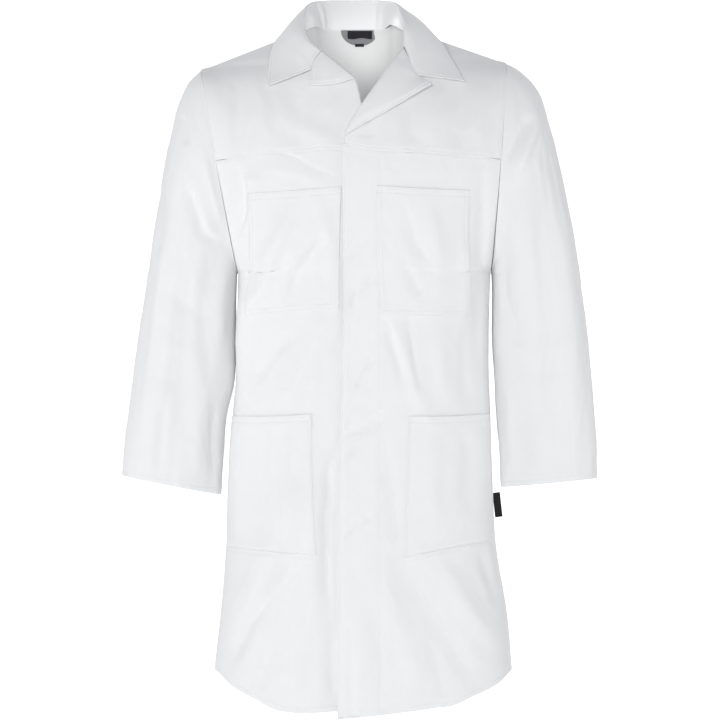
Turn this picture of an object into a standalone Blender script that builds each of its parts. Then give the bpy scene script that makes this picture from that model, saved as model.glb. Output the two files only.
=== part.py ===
"""Knee-length laboratory coat: assembled garment, every cut piece its own closed solid.

Axes: +X to the wearer's left, -Y to the front, +Z up.  The origin is at the
hanger loop, on the back neck seam.
"""
import bpy
import math
import numpy as np

for old in list(bpy.data.objects):
    bpy.data.objects.remove(old, do_unlink=True)

# ---------------------------------------------------------------- dimensions
UNIT = 0.00153          # one unit of the front elevation drawing, m
MID_U, MID_V = 360.0, 360.0   # the drawing's centre
NECK_V = 30.0           # drawing height of the origin
STATION = 5.0           # distance of the drawing's station point in front, m
Z_MID = (NECK_V - MID_V) * UNIT

CLOTH = 0.0015          # modelled thickness of one made-up cloth layer
GAP = 0.0006            # clearance along a seam
SHOULDER_GAP = 0.0014   # each yoke's edge stops this far from the shoulder line
TOP_EASE = 0.00003      # how far a yoke's edge stops below the shoulder line
FRONT_DEPTH = ((-1.10, 0.128), (-0.80, 0.126), (-0.55, 0.120), (-0.30, 0.126), (-0.10, 0.124), (0.10, 0.120))
BACK_DEPTH = ((-1.10, 0.118), (-0.80, 0.116), (-0.55, 0.108), (-0.30, 0.118), (-0.10, 0.118), (0.10, 0.118))
ROUND = 2.5             # how square the body's plan section is
LAP = 0.0042            # how far each front is stepped off the mid surface
ARM_FRONT, ARM_BACK = 0.078, 0.084   # half depths of the armhole
CHEST_Z = -0.25         # above this height the body curves in to the shoulders

# front elevation, (u, v) of each outline, u to the wearer's left, v down
SIDE_R = ((272, 238.6), (330, 238.6), (370, 237.4), (415, 233.4), (480, 230), (545, 226.6), (614, 221), (668, 215), (730, 210))
SIDE_L = ((272, 490), (330, 488.4), (370, 488.4), (415, 490), (480, 492), (545, 495.6), (614, 507), (668, 511.6), (730, 516))
SHOULDER = {-1: (201.0, 71.0), 1: (506.0, 64.0)}
NECK = {-1: (303.0, 31.0), 1: (405.0, 29.0)}
ARMPIT_V = 272.0
YOKE_R = ((200, 163), (224.7, 159.6), (254, 153), (304.7, 150), (330, 147.6), (345, 149.5), (365, 151.5), (400, 153))
YOKE_L = ((320, 143), (344.7, 144), (368.7, 148.7), (410, 150.7), (443, 153), (476, 156), (520, 163))
HEM_R = ((205, 657), (214.6, 668.4), (232.7, 686.5), (254, 699.3), (277.5, 711), (296.7, 713.8), (336.2, 712.6), (390, 712))
HEM_L = ((330, 720), (337.3, 720), (365, 717.5), (397, 713.8), (439.7, 708.3), (450.3, 706.8), (471.7, 697.2), (503.7, 679), (512.2, 669.5), (520, 660))
EDGE_L = ((135, 342.5), (400, 341.5), (438, 339.6), (720, 337.3))   # edge of the upper front
EDGE_R = ((105, 364), (147, 379.5), (158, 379.6), (260, 379.0), (420, 378.0), (580, 377.0), (720, 376))   # edge of the under front


def curve(points):
    """A smooth function through (t, value) points in rising t."""
    t = np.array([p[0] for p in points], float)
    y = np.array([p[1] for p in points], float)
    m = np.gradient(y, t)

    def f(s):
        s = np.clip(np.asarray(s, float), t[0], t[-1])
        i = np.clip(np.searchsorted(t, s) - 1, 0, len(t) - 2)
        h = t[i + 1] - t[i]
        a = (s - t[i]) / h
        return ((2 * a**3 - 3 * a**2 + 1) * y[i] + (a**3 - 2 * a**2 + a) * h * m[i]
                + (3 * a**2 - 2 * a**3) * y[i + 1] + (a**3 - a**2) * h * m[i + 1])
    return f


def path(points, closed=False):
    """A smooth 3-D line through points, by chord length, f(0)..f(1)."""
    p = np.array(points, float)
    d = np.r_[0, np.cumsum(np.maximum(np.linalg.norm(np.diff(p, axis=0), axis=1), 1e-9))]
    d /= d[-1]
    fs = [curve(list(zip(d, p[:, k]))) for k in range(p.shape[1])]
    return lambda s: np.stack([f(s) for f in fs], -1)


def smooth(a, b, x):
    t = np.clip((np.asarray(x, float) - a) / (b - a), 0, 1)
    return t * t * (3 - 2 * t)


df, db = curve(FRONT_DEPTH), curve(BACK_DEPTH)
side_r, side_l = curve(SIDE_R), curve(SIDE_L)


def zv(v, y=0.0):
    return Z_MID + (MID_V - v) * UNIT * (STATION + y) / STATION


def xu(u, y=0.0):
    return (u - MID_U) * UNIT * (STATION + y) / STATION


def vz(z):
    return MID_V - (z - Z_MID) / UNIT


def edges(z):
    """x of the body's right and left outline: side seams, then armholes."""
    v = vz(z)
    out = []
    for s, side in ((-1, side_r), (1, side_l)):
        su, sv = SHOULDER[s]
        low = float(side(ARMPIT_V))
        t = np.clip((ARMPIT_V - v) / (ARMPIT_V - sv), 0, 1.15)
        out.append(xu(np.where(v > ARMPIT_V, side(v), low + (su - low) * t)))
    return out


def z_top(x):
    """Height of the shoulder line, carried as a low arch across the neck."""
    xs = [xu(SHOULDER[-1][0]), xu(NECK[-1][0]), xu(330), xu(354), xu(378), xu(NECK[1][0]), xu(SHOULDER[1][0])]
    zs = [zv(SHOULDER[-1][1]), zv(NECK[-1][1]), 0.022, 0.030, 0.024, zv(NECK[1][1]), zv(SHOULDER[1][1])]
    return np.interp(x, xs, zs)


def theta_of(x, z):
    r, l = edges(z)
    xi = np.clip((x - (r + l) / 2) / ((l - r) / 2), -1, 1)
    return np.sign(xi) * np.arcsin(np.abs(xi) ** (ROUND / 2))


def body(th, z, face):
    """The body surface: th from -pi/2 (right side) to pi/2 (left side)."""
    th, z = np.broadcast_arrays(np.asarray(th, float), np.asarray(z, float))
    r, l = edges(z)
    x = (r + l) / 2 + (l - r) / 2 * np.sign(th) * np.abs(np.sin(th)) ** (2 / ROUND)
    pit, top = zv(ARMPIT_V), np.where(th < 0, zv(SHOULDER[-1][1]), zv(SHOULDER[1][1]))
    mid, half = (pit + top) / 2, (top - pit) / 2
    arm = (ARM_FRONT if face < 0 else ARM_BACK) * np.sqrt(np.clip(1 - ((z - mid) / half) ** 2, 0, 1))
    q = 1 / ROUND + (0.85 - 1 / ROUND) * smooth(pit - 0.02, pit + 0.12, z)
    s = np.maximum(np.cos(th), 0) ** (2 * q)
    rise = np.clip((z - CHEST_Z) / np.maximum(z_top(x) - CHEST_Z, 1e-4), 0, 1)
    k = (1 - rise**2) ** 0.6 if face < 0 else (1 - rise**2.6) ** 0.5
    m = (df(z) if face < 0 else db(z)) * k
    return np.stack([x, face * (arm + (m - arm) * s), z], -1)


def on_body(x, z, face=-1):
    return body(theta_of(x, z), z, face)


def front_at(u, v, off=0.0):
    """World point of an elevation point lying on the front, off it by `off`."""
    y = -0.1
    for _ in range(6):
        x, z = xu(u, y), zv(v, y)
        y = on_body(x, z)[..., 1] - off
    return np.stack([x, y, z], -1)


# ---------------------------------------------------------------- materials
def material(name, rgb, rough, metal=0.0):
    m = bpy.data.materials.new(name)
    m.use_nodes = True
    b = m.node_tree.nodes["Principled BSDF"]
    b.inputs["Base Color"].default_value = (*rgb, 1)
    b.inputs["Roughness"].default_value = rough
    b.inputs["Metallic"].default_value = metal
    m.diffuse_color = (*rgb, 1)
    return m


def cloth(name):
    return material("cloth_" + name, (0.88, 0.90, 0.92), 0.9)


def normals(P, wrap=False):
    if wrap:
        du = np.roll(P, -1, 0) - np.roll(P, 1, 0)
    else:
        du = np.gradient(P, axis=0)
    dw = np.gradient(P, axis=1)
    n = np.cross(du, dw)
    n /= np.maximum(np.linalg.norm(n, axis=-1, keepdims=True), 1e-12)
    return n


def make(name, verts, faces, mat, origin=(0, 0, 0), round_=True, parent=None):
    origin = np.array(origin, float)
    me = bpy.data.meshes.new(name)
    me.from_pydata([tuple(v - origin) for v in verts], [], faces)
    me.update()
    me.materials.append(mat)
    if round_:
        me.polygons.foreach_set("use_smooth", [True] * len(me.polygons))
    ob = bpy.data.objects.new(name, me)
    bpy.context.scene.collection.objects.link(ob)
    ob.location = origin
    # volume sign decides the winding
    vol = 0.0
    co = [v.co for v in me.vertices]
    me.calc_loop_triangles()
    for t in me.loop_triangles:
        a, b, c = (co[i] for i in t.vertices)
        vol += a.dot(b.cross(c))
    if vol < 0:
        me.flip_normals()
    return ob


def sheet(name, P, thick=CLOTH, wrap=False, mat=None, origin=(0, 0, 0)):
    """A closed solid: the grid P thickened to both sides by half `thick`."""
    nu, nw = P.shape[:2]
    n = normals(P, wrap)
    a, b = P + n * thick / 2, P - n * thick / 2
    verts = list(a.reshape(-1, 3)) + list(b.reshape(-1, 3))
    N = nu * nw
    idx = lambda i, j: (i % nu) * nw + j
    faces = []
    for i in range(nu if wrap else nu - 1):
        for j in range(nw - 1):
            q = (idx(i, j), idx(i + 1, j), idx(i + 1, j + 1), idx(i, j + 1))
            faces += [q, tuple(N + k for k in q[::-1])]
    rim = []
    for i in range(nu if wrap else nu - 1):
        rim += [(idx(i + 1, 0), idx(i, 0)), (idx(i, nw - 1), idx(i + 1, nw - 1))]
    if not wrap:
        for j in range(nw - 1):
            rim += [(idx(0, j), idx(0, j + 1)), (idx(nu - 1, j + 1), idx(nu - 1, j))]
    for p, q in rim:
        faces.append((p, q, N + q, N + p))
    return make(name, verts, faces, mat or cloth(name), origin)


def grid(f, nu, nw):
    u, w = np.meshgrid(np.linspace(0, 1, nu), np.linspace(0, 1, nw), indexing="ij")
    return f(u, w)


def out(P, off, face=-1):
    """P moved off the body surface, outward."""
    n = normals(P)
    if np.mean(n[..., 1]) * face < 0:
        n = -n
    return P + n * off


# ---------------------------------------------------------------- hinge axes
FRONT_AXIS = {-1: (-0.166, -0.080), 1: (0.174, -0.080)}
HINGE_Z = -0.60


# ---------------------------------------------------------------- front panels
def edge_x(s, z):
    e = EDGE_L if s > 0 else EDGE_R
    y = -0.124
    v = MID_V - (z - Z_MID) / (UNIT * (STATION + y) / STATION)
    return xu(curve(e)(v), y)


def line_z(points, x, y):
    u = MID_U + x / (UNIT * (STATION + y) / STATION)
    return zv(curve(points)(u), y)


def lap(s, th, z=None):
    """The upper front is stepped outward and the under front inward, near the middle."""
    return s * LAP * (1 - smooth(0.25, 0.95, np.abs(th)))


def front_panel(s, u, w, top=None, bottom=None, edge=0.0, wide=None):
    """u 0 at the front edge to 1 at the side seam, w 0 at the yoke to 1 at the hem."""
    z = np.full(np.broadcast(u, w).shape, -0.5)
    side = s * (math.pi / 2 - 0.0016)
    for _ in range(6):
        th0 = theta_of(edge_x(s, z) + edge, z)
        if wide is None:
            th = th0 + (side - th0) * u
        else:
            th = theta_of(edge_x(s, z) + edge + (wide if s > 0 else -wide) * u, z)
        p = body(th, z, -1)
        zt = line_z(YOKE_L if s > 0 else YOKE_R, p[..., 0], p[..., 1]) - GAP - 0.0014 * smooth(0.5, 1.0, u)
        zb = line_z(HEM_L if s > 0 else HEM_R, p[..., 0], p[..., 1])
        z = zt + (zb - zt) * w
    return body(th, z, -1), th


side_name = {-1: "right", 1: "left"}
for s in (-1, 1):
    U, W = np.meshgrid(np.linspace(0, 1, 12), np.linspace(0, 1, 15), indexing="ij")
    P, th = front_panel(s, U, W)
    n = normals(P)
    if np.mean(n[..., 1]) > 0:
        n = -n
    P = P + n * lap(s, th)[..., None]
    ax = FRONT_AXIS[s]
    sheet(f"front_panel_{side_name[s]}", P, origin=(ax[0], ax[1], HINGE_Z))
    # the facing behind each front edge
    U, W = np.meshgrid(np.linspace(0, 1, 3), np.linspace(0, 1, 15), indexing="ij")
    P, th = front_panel(s, U, 0.004 + 0.992 * W, edge=s * 0.0008, wide=0.056)
    n = normals(P)
    if np.mean(n[..., 1]) > 0:
        n = -n
    P = P + n * (lap(s, th) - 0.0027)[..., None]
    sheet(f"front_facing_{side_name[s]}", P, thick=0.0010, origin=(ax[0], ax[1], HINGE_Z))


# ---------------------------------------------------------------- front yokes
ROLL_L = ((403.5, 47), (391.4, 63), (377, 84), (362, 105), (350, 124), (344.5, 136), (344.5, 143))
ROLL_R = ((321, 50), (328, 57), (341, 67), (354.7, 77.7), (360, 96), (364.5, 112), (377, 144))


def yoke(s, u, w):
    """u 0 at the roll line to 1 at the armhole, w 0 at the yoke seam to 1 at the shoulder."""
    pts = ROLL_L if s > 0 else ROLL_R
    roll = path([front_at(a, b) for a, b in pts[::-1]])
    nu, nsh = NECK[s], SHOULDER[s]
    # the front edge: roll line, then the neck seam up to the shoulder
    edge_uv = path([(*p,) for p in pts[::-1]] + [(nu[0] + (-1.0 if s > 0 else 1.5), nu[1] + 5), (nu[0], nu[1] + 0.02)])
    e = edge_uv(w)
    eu, ev = e[..., 0], e[..., 1]
    z = zv(ev)
    # armhole edge at matching heights
    za = zv(162) + (zv(nsh[1] + 1.2) - zv(162)) * w
    th_e = None
    y = -0.1
    for _ in range(6):
        x0, z0 = xu(eu, y), zv(ev, y)
        p0 = on_body(x0, z0)
        y = p0[..., 1]
    r, l = edges(za)
    x1 = (l if s > 0 else r) - s * 0.0012
    x = x0 + (x1 - x0) * u
    # the top edge is the shoulder line, the bottom edge the yoke seam
    zt = z_top(x) - TOP_EASE
    zb = line_z(YOKE_L if s > 0 else YOKE_R, x, -0.118 + 0.03 * u) + GAP
    z00 = line_z(YOKE_L if s > 0 else YOKE_R, x0, -0.118) + GAP
    f0 = (z0 - z00) / (z_top(x0) - TOP_EASE - z00)
    a = smooth(0, 1, u)
    f = (1 - (1 - w) ** 2) * a + f0 * (1 - a)
    z = zb + (zt - zb) * f
    r, l = edges(z)
    lim = (l if s > 0 else r) - s * 0.0012
    x = np.where(s * x > s * lim, lim, x)
    return on_body(x, z)


for s in (-1, 1):
    P = grid(lambda u, w: yoke(s, u, w), 9, 8)
    th = theta_of(P[..., 0], P[..., 2])
    P[..., 1] = np.minimum(P[..., 1], -SHOULDER_GAP)
    P = out(P, 0) + np.array([0, -1, 0]) * (lap(s, th) * smooth(-0.05, -0.15, P[..., 2]))[..., None]
    sheet(f"front_yoke_{side_name[s]}", P)


# ---------------------------------------------------------------- back
BACK_SEAM_V = 152.0     # the back yoke's seam
BACK_HEM = (-0.977, 0.050)   # height at the sides, further drop at the middle
NECK_DROP = 0.034       # how far the back neck seam lies below the arch


def back_seam(x):
    return zv(BACK_SEAM_V, 0.118) + 0 * x


def back_panel(u, w):
    th = (2 * u - 1) * (math.pi / 2 - 0.0016)
    z = np.full(np.broadcast(u, w).shape, -0.5)
    for _ in range(5):
        x = body(th, z, 1)[..., 0]
        zt = back_seam(x) - GAP
        zb = BACK_HEM[0] - BACK_HEM[1] * (1 - np.abs(np.sin(th)) ** 3)
        # beside the armhole the panel's top corner is cut by the armhole itself
        z = zt + (zb - zt) * w
    return body(th, z, 1)


sheet("back_panel", grid(back_panel, 17, 13))


def neck_line(x):
    """Height of the back neck seam across the neck, the shoulder line outside it."""
    a, b = xu(NECK[-1][0]), xu(NECK[1][0])
    n = np.clip((x - (a + b) / 2) / ((b - a) / 2), -1, 1)
    return z_top(x) - TOP_EASE - NECK_DROP * (1 - np.abs(n) ** 4)


def back_yoke(u, w):
    z = np.full(np.broadcast(u, w).shape, -0.1)
    for _ in range(6):
        r, l = edges(z)
        x = r + 0.0012 + (l - r - 0.0024) * u
        zt = neck_line(x)
        zb = back_seam(x) + GAP
        z = zb + (zt - zb) * (1 - (1 - w) ** 2)
    return on_body(x, z, 1)


P = grid(back_yoke, 21, 8)
P[..., 1] = np.maximum(P[..., 1], SHOULDER_GAP)
sheet("back_yoke", P)

# ---------------------------------------------------------------- sleeves
OUTER = {-1: ((201, 71), (190, 82), (183, 95), (177, 110), (173, 127), (168.7, 148), (158.4, 207), (148, 280), (139.3, 339), (132, 397), (126, 441), (123.2, 475)),
         1: ((506, 64), (516, 69), (529, 80), (540, 96), (544.5, 110), (555, 149), (567, 209), (577.5, 266), (585, 320), (591, 380), (595.5, 440), (596.4, 477.5))}
INNER = {-1: ((236.4, 275), (236.4, 300), (236.4, 339), (234, 385.6), (227.3, 412), (223, 456), (220.9, 494)),
         1: ((492.6, 275), (491.8, 300), (491.4, 340), (493.6, 368), (497.5, 425), (500.4, 486.5))}
SLEEVE_DEPTH = curve(((0, 0.081), (0.3, 0.074), (0.6, 0.062), (0.85, 0.048), (1, 0.040)))
SLEEVE_Y = curve(((0, 0.003), (0.5, 0.0), (1, -0.016)))
ELBOW = 0.62
CUFF = 0.955


def sleeve_rings(s):
    o = path(OUTER[s])
    i = path(INNER[s])

    def f(t):
        t = np.asarray(t, float)
        ti = 0.1 * t + 0.9 * np.clip((t - 0.35) / 0.65, 0, 1) ** 1.5
        a, b = o(t), i(ti)
        oo = np.stack([xu(a[..., 0]) + s * 0.0015, 0 * t, zv(a[..., 1])], -1)
        ii = np.stack([xu(b[..., 0]), 0 * t, zv(b[..., 1])], -1)
        return oo, ii
    return f


def sleeve(s, phi, t, shrink=0.0):
    oo, ii = sleeve_rings(s)(t)
    c, a = (oo + ii) / 2, (oo - ii) / 2
    la = np.linalg.norm(a, axis=-1, keepdims=True)
    a = a * (1 - shrink / la)
    b = SLEEVE_DEPTH(t) - shrink
    p = c + a * np.cos(phi)[..., None]
    p[..., 1] += SLEEVE_Y(t) + b * np.sin(phi)
    return p


SHOULDER_PIVOT = {s: (xu(SHOULDER[s][0]) - s * 0.0004, 0.003, zv(SHOULDER[s][1]) + 0.0012) for s in (-1, 1)}


def elbow_pivot(s):
    oo, ii = sleeve_rings(s)(np.array(ELBOW))
    c = (oo + ii) / 2
    e = (oo - ii) / np.linalg.norm(oo - ii)
    return (c[0], float(SLEEVE_Y(ELBOW) - SLEEVE_DEPTH(ELBOW)) - CLOTH / 2 - 0.0003, c[2]), e * s


def tube(s, t0, t1, n, nu=18, shrink=0.0):
    phi, t = np.meshgrid(np.linspace(0, 2 * math.pi, nu, endpoint=False), np.linspace(t0, t1, n), indexing="ij")
    return sleeve(s, phi, t, shrink)


for s in (-1, 1):
    nm = side_name[s]
    sheet(f"sleeve_upper_{nm}", tube(s, 0.0, ELBOW - 0.0006, 7), wrap=True, origin=SHOULDER_PIVOT[s])
    ep, _ = elbow_pivot(s)
    sheet(f"sleeve_lower_{nm}", tube(s, ELBOW + 0.0012, 1.0, 5), wrap=True, origin=ep)
    sheet(f"cuff_hem_{nm}", tube(s, CUFF, 0.999, 2, shrink=0.0028), thick=0.001, wrap=True, origin=ep)

# ---------------------------------------------------------------- collar
def P3(u, v, y):
    return np.array([xu(u, y), y, zv(v, y)])


def back_pt(x, z, off=0.0):
    p = on_body(np.array(x), np.array(z), 1)
    return p + np.array([0, off, 0])


def neck_back(u):
    x = xu(u, 0.05)
    return back_pt(x, float(neck_line(x)))


NECK_SEAM = path([front_at(321, 50), front_at(312, 42), front_at(304.5, 36), P3(303, 30.5, 0.0), neck_back(311), neck_back(328), neck_back(353),
                  neck_back(379), neck_back(396), P3(405, 28.5, 0.0), front_at(404, 34), front_at(403.5, 47)])
FOLD = path([front_at(321, 50, 0.004), front_at(310.8, 38, 0.013), P3(305.6, 28, -0.040), P3(306.5, 12, -0.012), P3(312, 3.6, 0.022), P3(328, 1.6, 0.050), P3(353, 1.4, 0.064),
             P3(379, 1.6, 0.050), P3(394, 3.6, 0.022), P3(401.0, 12, -0.012), P3(404.6, 26, -0.040), front_at(404.5, 46, 0.004)])
LEAF_EDGE = path([front_at(267.5, 87, 0.006), front_at(270, 66, 0.006), front_at(273, 50, 0.007), P3(276, 40.0, 0.0), back_pt(xu(284, .05), zv(50, .05), 0.007), back_pt(xu(310, .08), zv(58, .08), 0.006), back_pt(xu(353, .08), zv(60, .08), 0.006),
                  back_pt(xu(396, .08), zv(58, .08), 0.006), back_pt(xu(426, .05), zv(49, .05), 0.007), P3(437, 35.0, 0.0), front_at(443, 49, 0.007), front_at(453, 64, 0.006), front_at(464.7, 81.4, 0.006)])
GORGE = {-1: ((321, 50), (310.7, 68.6), (267.5, 87)), 1: ((404.5, 46), (418.2, 74.2), (464.7, 81.4))}


def clear_body(P, off):
    """Points pushed out so that they stay `off` outside the body surface."""
    P = P.copy()
    x, z = P[..., 0], P[..., 2]
    ok = z < z_top(x) - 0.0005
    yf = on_body(x, z, -1)[..., 1] - off
    yb = on_body(x, z, 1)[..., 1] + off
    front = P[..., 1] < 0.004
    P[..., 1] = np.where(ok & front, np.minimum(P[..., 1], yf), np.where(ok & ~front, np.maximum(P[..., 1], yb), P[..., 1]))
    over = ~ok & (z < z_top(x) + off) & (np.abs(P[..., 1]) < 0.03)
    P[..., 2] = np.where(over, z_top(x) + off, z)
    return P


def leaf(u, w):
    a, b = FOLD(u), LEAF_EDGE(u)
    out_dir = a - np.array([xu(354), 0.0, 0.0]) * [1, 1, 0]
    out_dir = out_dir * [1, 1, 0]
    out_dir /= np.maximum(np.linalg.norm(out_dir, axis=-1, keepdims=True), 1e-9)
    p = a * (1 - w[..., None]) + b * w[..., None]
    p += (out_dir * 0.006 + np.array([0, 0, 0.003])) * (np.sin(math.pi * w) ** 0.7)[..., None]
    p += out_dir * 0.0022
    for s in (-1, 1):
        g = GORGE[s]
        e = path([front_at(*g[0], 0.006), front_at(*g[1], 0.006), front_at(*g[2], 0.006)])
        t = w * 1.0
        fade = (1 - smooth(0.0, 0.16, u if s < 0 else 1 - u))[..., None]
        line = front_at(*g[0], 0.006) * (1 - w[..., None]) + front_at(*g[2], 0.006) * w[..., None]
        p += (e(t) - line) * fade
    return clear_body(p, 0.005)


def stand(u, w):
    return NECK_SEAM(u) * (1 - w[..., None]) + FOLD(u) * w[..., None] + np.array([0, 0, 0.0030]) * (1 - w[..., None])


sheet("collar_stand", grid(lambda u, w: stand(0.012 + 0.976 * u, w), 25, 3))
sheet("collar_leaf", grid(leaf, 29, 5))

# ---------------------------------------------------------------- lapels
LAPEL_ROLL = {1: ((402.2, 52), (391.4, 63), (377, 84), (362, 105), (350, 124), (345.5, 134.5)), -1: ((322, 55), (328, 58.5), (341, 68.5), (353.5, 78.2))}
LAPEL_OUT = {1: ((415.5, 78), (431.0, 84.6), (414.9, 95.3), (382.6, 115), (362, 125.5), (346.5, 136.5)), -1: ((309.8, 72.5), (309.6, 85.6), (328, 84.3), (353.2, 80.6))}


def lapel(s, u, w):
    a, b = path(LAPEL_ROLL[s]), path(LAPEL_OUT[s])
    q = a(u) * (1 - w[..., None]) + b(u) * w[..., None]
    p = front_at(q[..., 0], q[..., 1])
    th = theta_of(p[..., 0], p[..., 2])
    off = (lap(s, th) * smooth(-0.05, -0.15, p[..., 2])) + 0.0032 + 0.002 * np.sin(math.pi * w)
    return p + np.array([0, -1, 0]) * off[..., None]


for s in (-1, 1):
    sheet(f"lapel_{side_name[s]}", grid(lambda u, w: lapel(s, u, w), 8, 3), thick=CLOTH)

# ---------------------------------------------------------------- pockets
POCKETS = {  # top-left, top-right, bottom-right, bottom-left corners in elevation
    "chest_pocket_right": (-1, (248.7, 193), (339.6, 186.5), (338.0, 308.7), (250, 315.3)),
    "chest_pocket_left": (1, (376.7, 185.3), (470, 190), (471.3, 316), (381.0, 314.8)),
    "lower_pocket_right": (-1, (234.6, 415.8), (311.8, 413.6), (316.6, 555), (231, 547.2)),
    "lower_pocket_left": (1, (409.4, 415.8), (487.6, 414.0), (490.6, 541), (405.2, 556.8)),
}
POUCH = 0.011           # how far a pocket's mouth stands off the coat


def pocket(s, c, u, w):
    tl, tr, br, bl = (np.array(p, float) for p in c)
    U, W = u[..., None], w[..., None]
    q = (tl * (1 - U) + tr * U) * (1 - W) + (bl * (1 - U) + br * U) * W
    p = front_at(q[..., 0], q[..., 1])
    n = normals(p)
    if np.mean(n[..., 1]) > 0:
        n = -n
    th = theta_of(p[..., 0], p[..., 2])
    puff = POUCH * np.sin(math.pi * u) ** 0.8 * (1 - w**3)
    return p + n * (lap(s, th) + 0.0046 + puff)[..., None]


for nm, (s, *c) in POCKETS.items():
    ax = FRONT_AXIS[s]
    sheet(nm, grid(lambda u, w: pocket(s, c, u, w), 9, 6), origin=(ax[0], ax[1], HINGE_Z))

# ---------------------------------------------------------------- labels
grey = material("patch_grey", (0.30, 0.31, 0.33), 0.85)
black = material("label_black", (0.02, 0.02, 0.022), 0.8)


def inside_back(u, v, off):
    y = 0.06
    for _ in range(6):
        x, z = xu(u, y), zv(v, y)
        y = on_body(x, z, 1)[..., 1] - off
    return np.stack([x, y, z], -1)


def half_moon(u, w):
    hw = 18.5 * np.sqrt(np.maximum(1 - (0.94 * w) ** 2.2, 0))
    return inside_back(359.5 + hw * (2 * u - 1), 33.6 + 12.0 * w, 0.0036)


def tab(u0, u1, v0, v1, off):
    return lambda u, w: inside_back(u0 + (u1 - u0) * u, v0 + (v1 - v0) * w, off)


sheet("neck_patch", grid(half_moon, 7, 4), thick=0.0009, mat=grey)
sheet("neck_label", grid(tab(347.6, 372, 34.2, 40.4, 0.0056), 4, 3), thick=0.0008, mat=black)
sheet("size_label", grid(tab(355, 364, 42.4, 47.4, 0.0056), 3, 3), thick=0.0008, mat=black)
x0, x1 = 0.0008 + xu(493.4), xu(500.8)
sheet("side_label", grid(lambda u, w: np.stack([x0 + (x1 - x0) * u + 0.004 * w, 0 * u - 0.0012, zv(492.5 + 25 * w - 1.0 * u)], -1), 3, 4), thick=0.0007, mat=material("flag_black", (0.02, 0.02, 0.022), 0.8))

# ---------------------------------------------------------------- snaps
SNAP_V = (192, 286.5, 381, 475.5, 570)
SNAP_U = 361.0
SNAP_R = 0.0062
nickel = material("snap_nickel", (0.72, 0.72, 0.70), 0.35, 0.9)


def disc(name, profile, at, tilt, origin):
    """A turned disc: (radius, distance along -Y) profile from axis to axis."""
    n = 12
    verts, rings = [], []
    for r, d in profile:
        if r == 0:
            rings.append([len(verts)])
            verts.append((0, -d, 0))
        else:
            rings.append(list(range(len(verts), len(verts) + n)))
            verts += [(r * math.cos(2 * math.pi * k / n), -d, r * math.sin(2 * math.pi * k / n)) for k in range(n)]
    faces = []
    for a, b in zip(rings, rings[1:]):
        for k in range(n):
            k2 = (k + 1) % n
            if len(a) == 1:
                faces.append((a[0], b[k], b[k2]))
            elif len(b) == 1:
                faces.append((a[k], b[0], a[k2]))
            else:
                faces.append((a[k], b[k], b[k2], a[k2]))
    c, s_ = math.cos(tilt), math.sin(tilt)
    vs = [np.array([x, y * c - z * s_, y * s_ + z * c]) + at for x, y, z in verts]
    return make(name, vs, faces, nickel, origin, round_=False)


for k, v in enumerate(SNAP_V):
    p = front_at(np.array(SNAP_U), np.array(v))
    q = front_at(np.array(SNAP_U), np.array(v + 4.0))
    tilt = math.atan2(q[1] - p[1], p[2] - q[2])
    # cap on the upper front's facing, stud on the under front
    al, ar = FRONT_AXIS[1], FRONT_AXIS[-1]
    cap = ((0, -0.0004), (SNAP_R * 0.9, -0.0004), (SNAP_R, -0.0001), (SNAP_R, 0.0003), (0, 0.0003))
    stud = ((0, -0.0010), (SNAP_R * 0.4, -0.0010), (SNAP_R * 0.45, -0.0016), (SNAP_R, -0.0016), (SNAP_R, -0.0025), (0, -0.0025))
    disc(f"snap_socket_{k + 1}", cap, p, tilt, (al[0], al[1], HINGE_Z))
    disc(f"snap_stud_{k + 1}", stud, p, tilt, (ar[0], ar[1], HINGE_Z))
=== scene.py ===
import bpy
import math
import numpy as np
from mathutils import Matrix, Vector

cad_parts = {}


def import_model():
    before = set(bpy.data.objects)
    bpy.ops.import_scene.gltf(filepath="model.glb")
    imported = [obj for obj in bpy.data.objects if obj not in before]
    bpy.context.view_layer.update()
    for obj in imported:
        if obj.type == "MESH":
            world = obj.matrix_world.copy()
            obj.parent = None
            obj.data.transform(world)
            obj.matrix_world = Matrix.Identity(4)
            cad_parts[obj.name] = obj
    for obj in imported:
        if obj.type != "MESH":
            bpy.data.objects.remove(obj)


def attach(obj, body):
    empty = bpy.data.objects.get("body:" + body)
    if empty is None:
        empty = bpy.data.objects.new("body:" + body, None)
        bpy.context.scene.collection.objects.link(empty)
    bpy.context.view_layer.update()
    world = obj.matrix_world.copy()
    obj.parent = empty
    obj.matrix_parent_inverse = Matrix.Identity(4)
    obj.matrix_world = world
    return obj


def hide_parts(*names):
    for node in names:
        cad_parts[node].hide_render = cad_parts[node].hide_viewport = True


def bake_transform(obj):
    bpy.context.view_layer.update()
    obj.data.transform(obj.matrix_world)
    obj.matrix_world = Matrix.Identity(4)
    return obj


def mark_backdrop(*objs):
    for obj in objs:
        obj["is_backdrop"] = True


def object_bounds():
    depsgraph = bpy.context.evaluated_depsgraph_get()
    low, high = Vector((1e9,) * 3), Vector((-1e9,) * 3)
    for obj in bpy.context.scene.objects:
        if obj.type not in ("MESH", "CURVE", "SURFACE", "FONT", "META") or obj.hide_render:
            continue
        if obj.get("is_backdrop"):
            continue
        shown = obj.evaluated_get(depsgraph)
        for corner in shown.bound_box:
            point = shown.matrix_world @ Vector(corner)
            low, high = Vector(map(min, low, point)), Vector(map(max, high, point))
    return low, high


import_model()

BOX_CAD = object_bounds()
FINE = 1.0      # grid coarseness

# ---------------------------------------------------------------- dimensions
UNIT = 0.00153          # one unit of the front elevation drawing, m
MID_U, MID_V = 360.0, 360.0   # the drawing's centre
NECK_V = 30.0           # drawing height of the origin
STATION = 5.0           # distance of the drawing's station point in front, m
Z_MID = (NECK_V - MID_V) * UNIT

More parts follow.
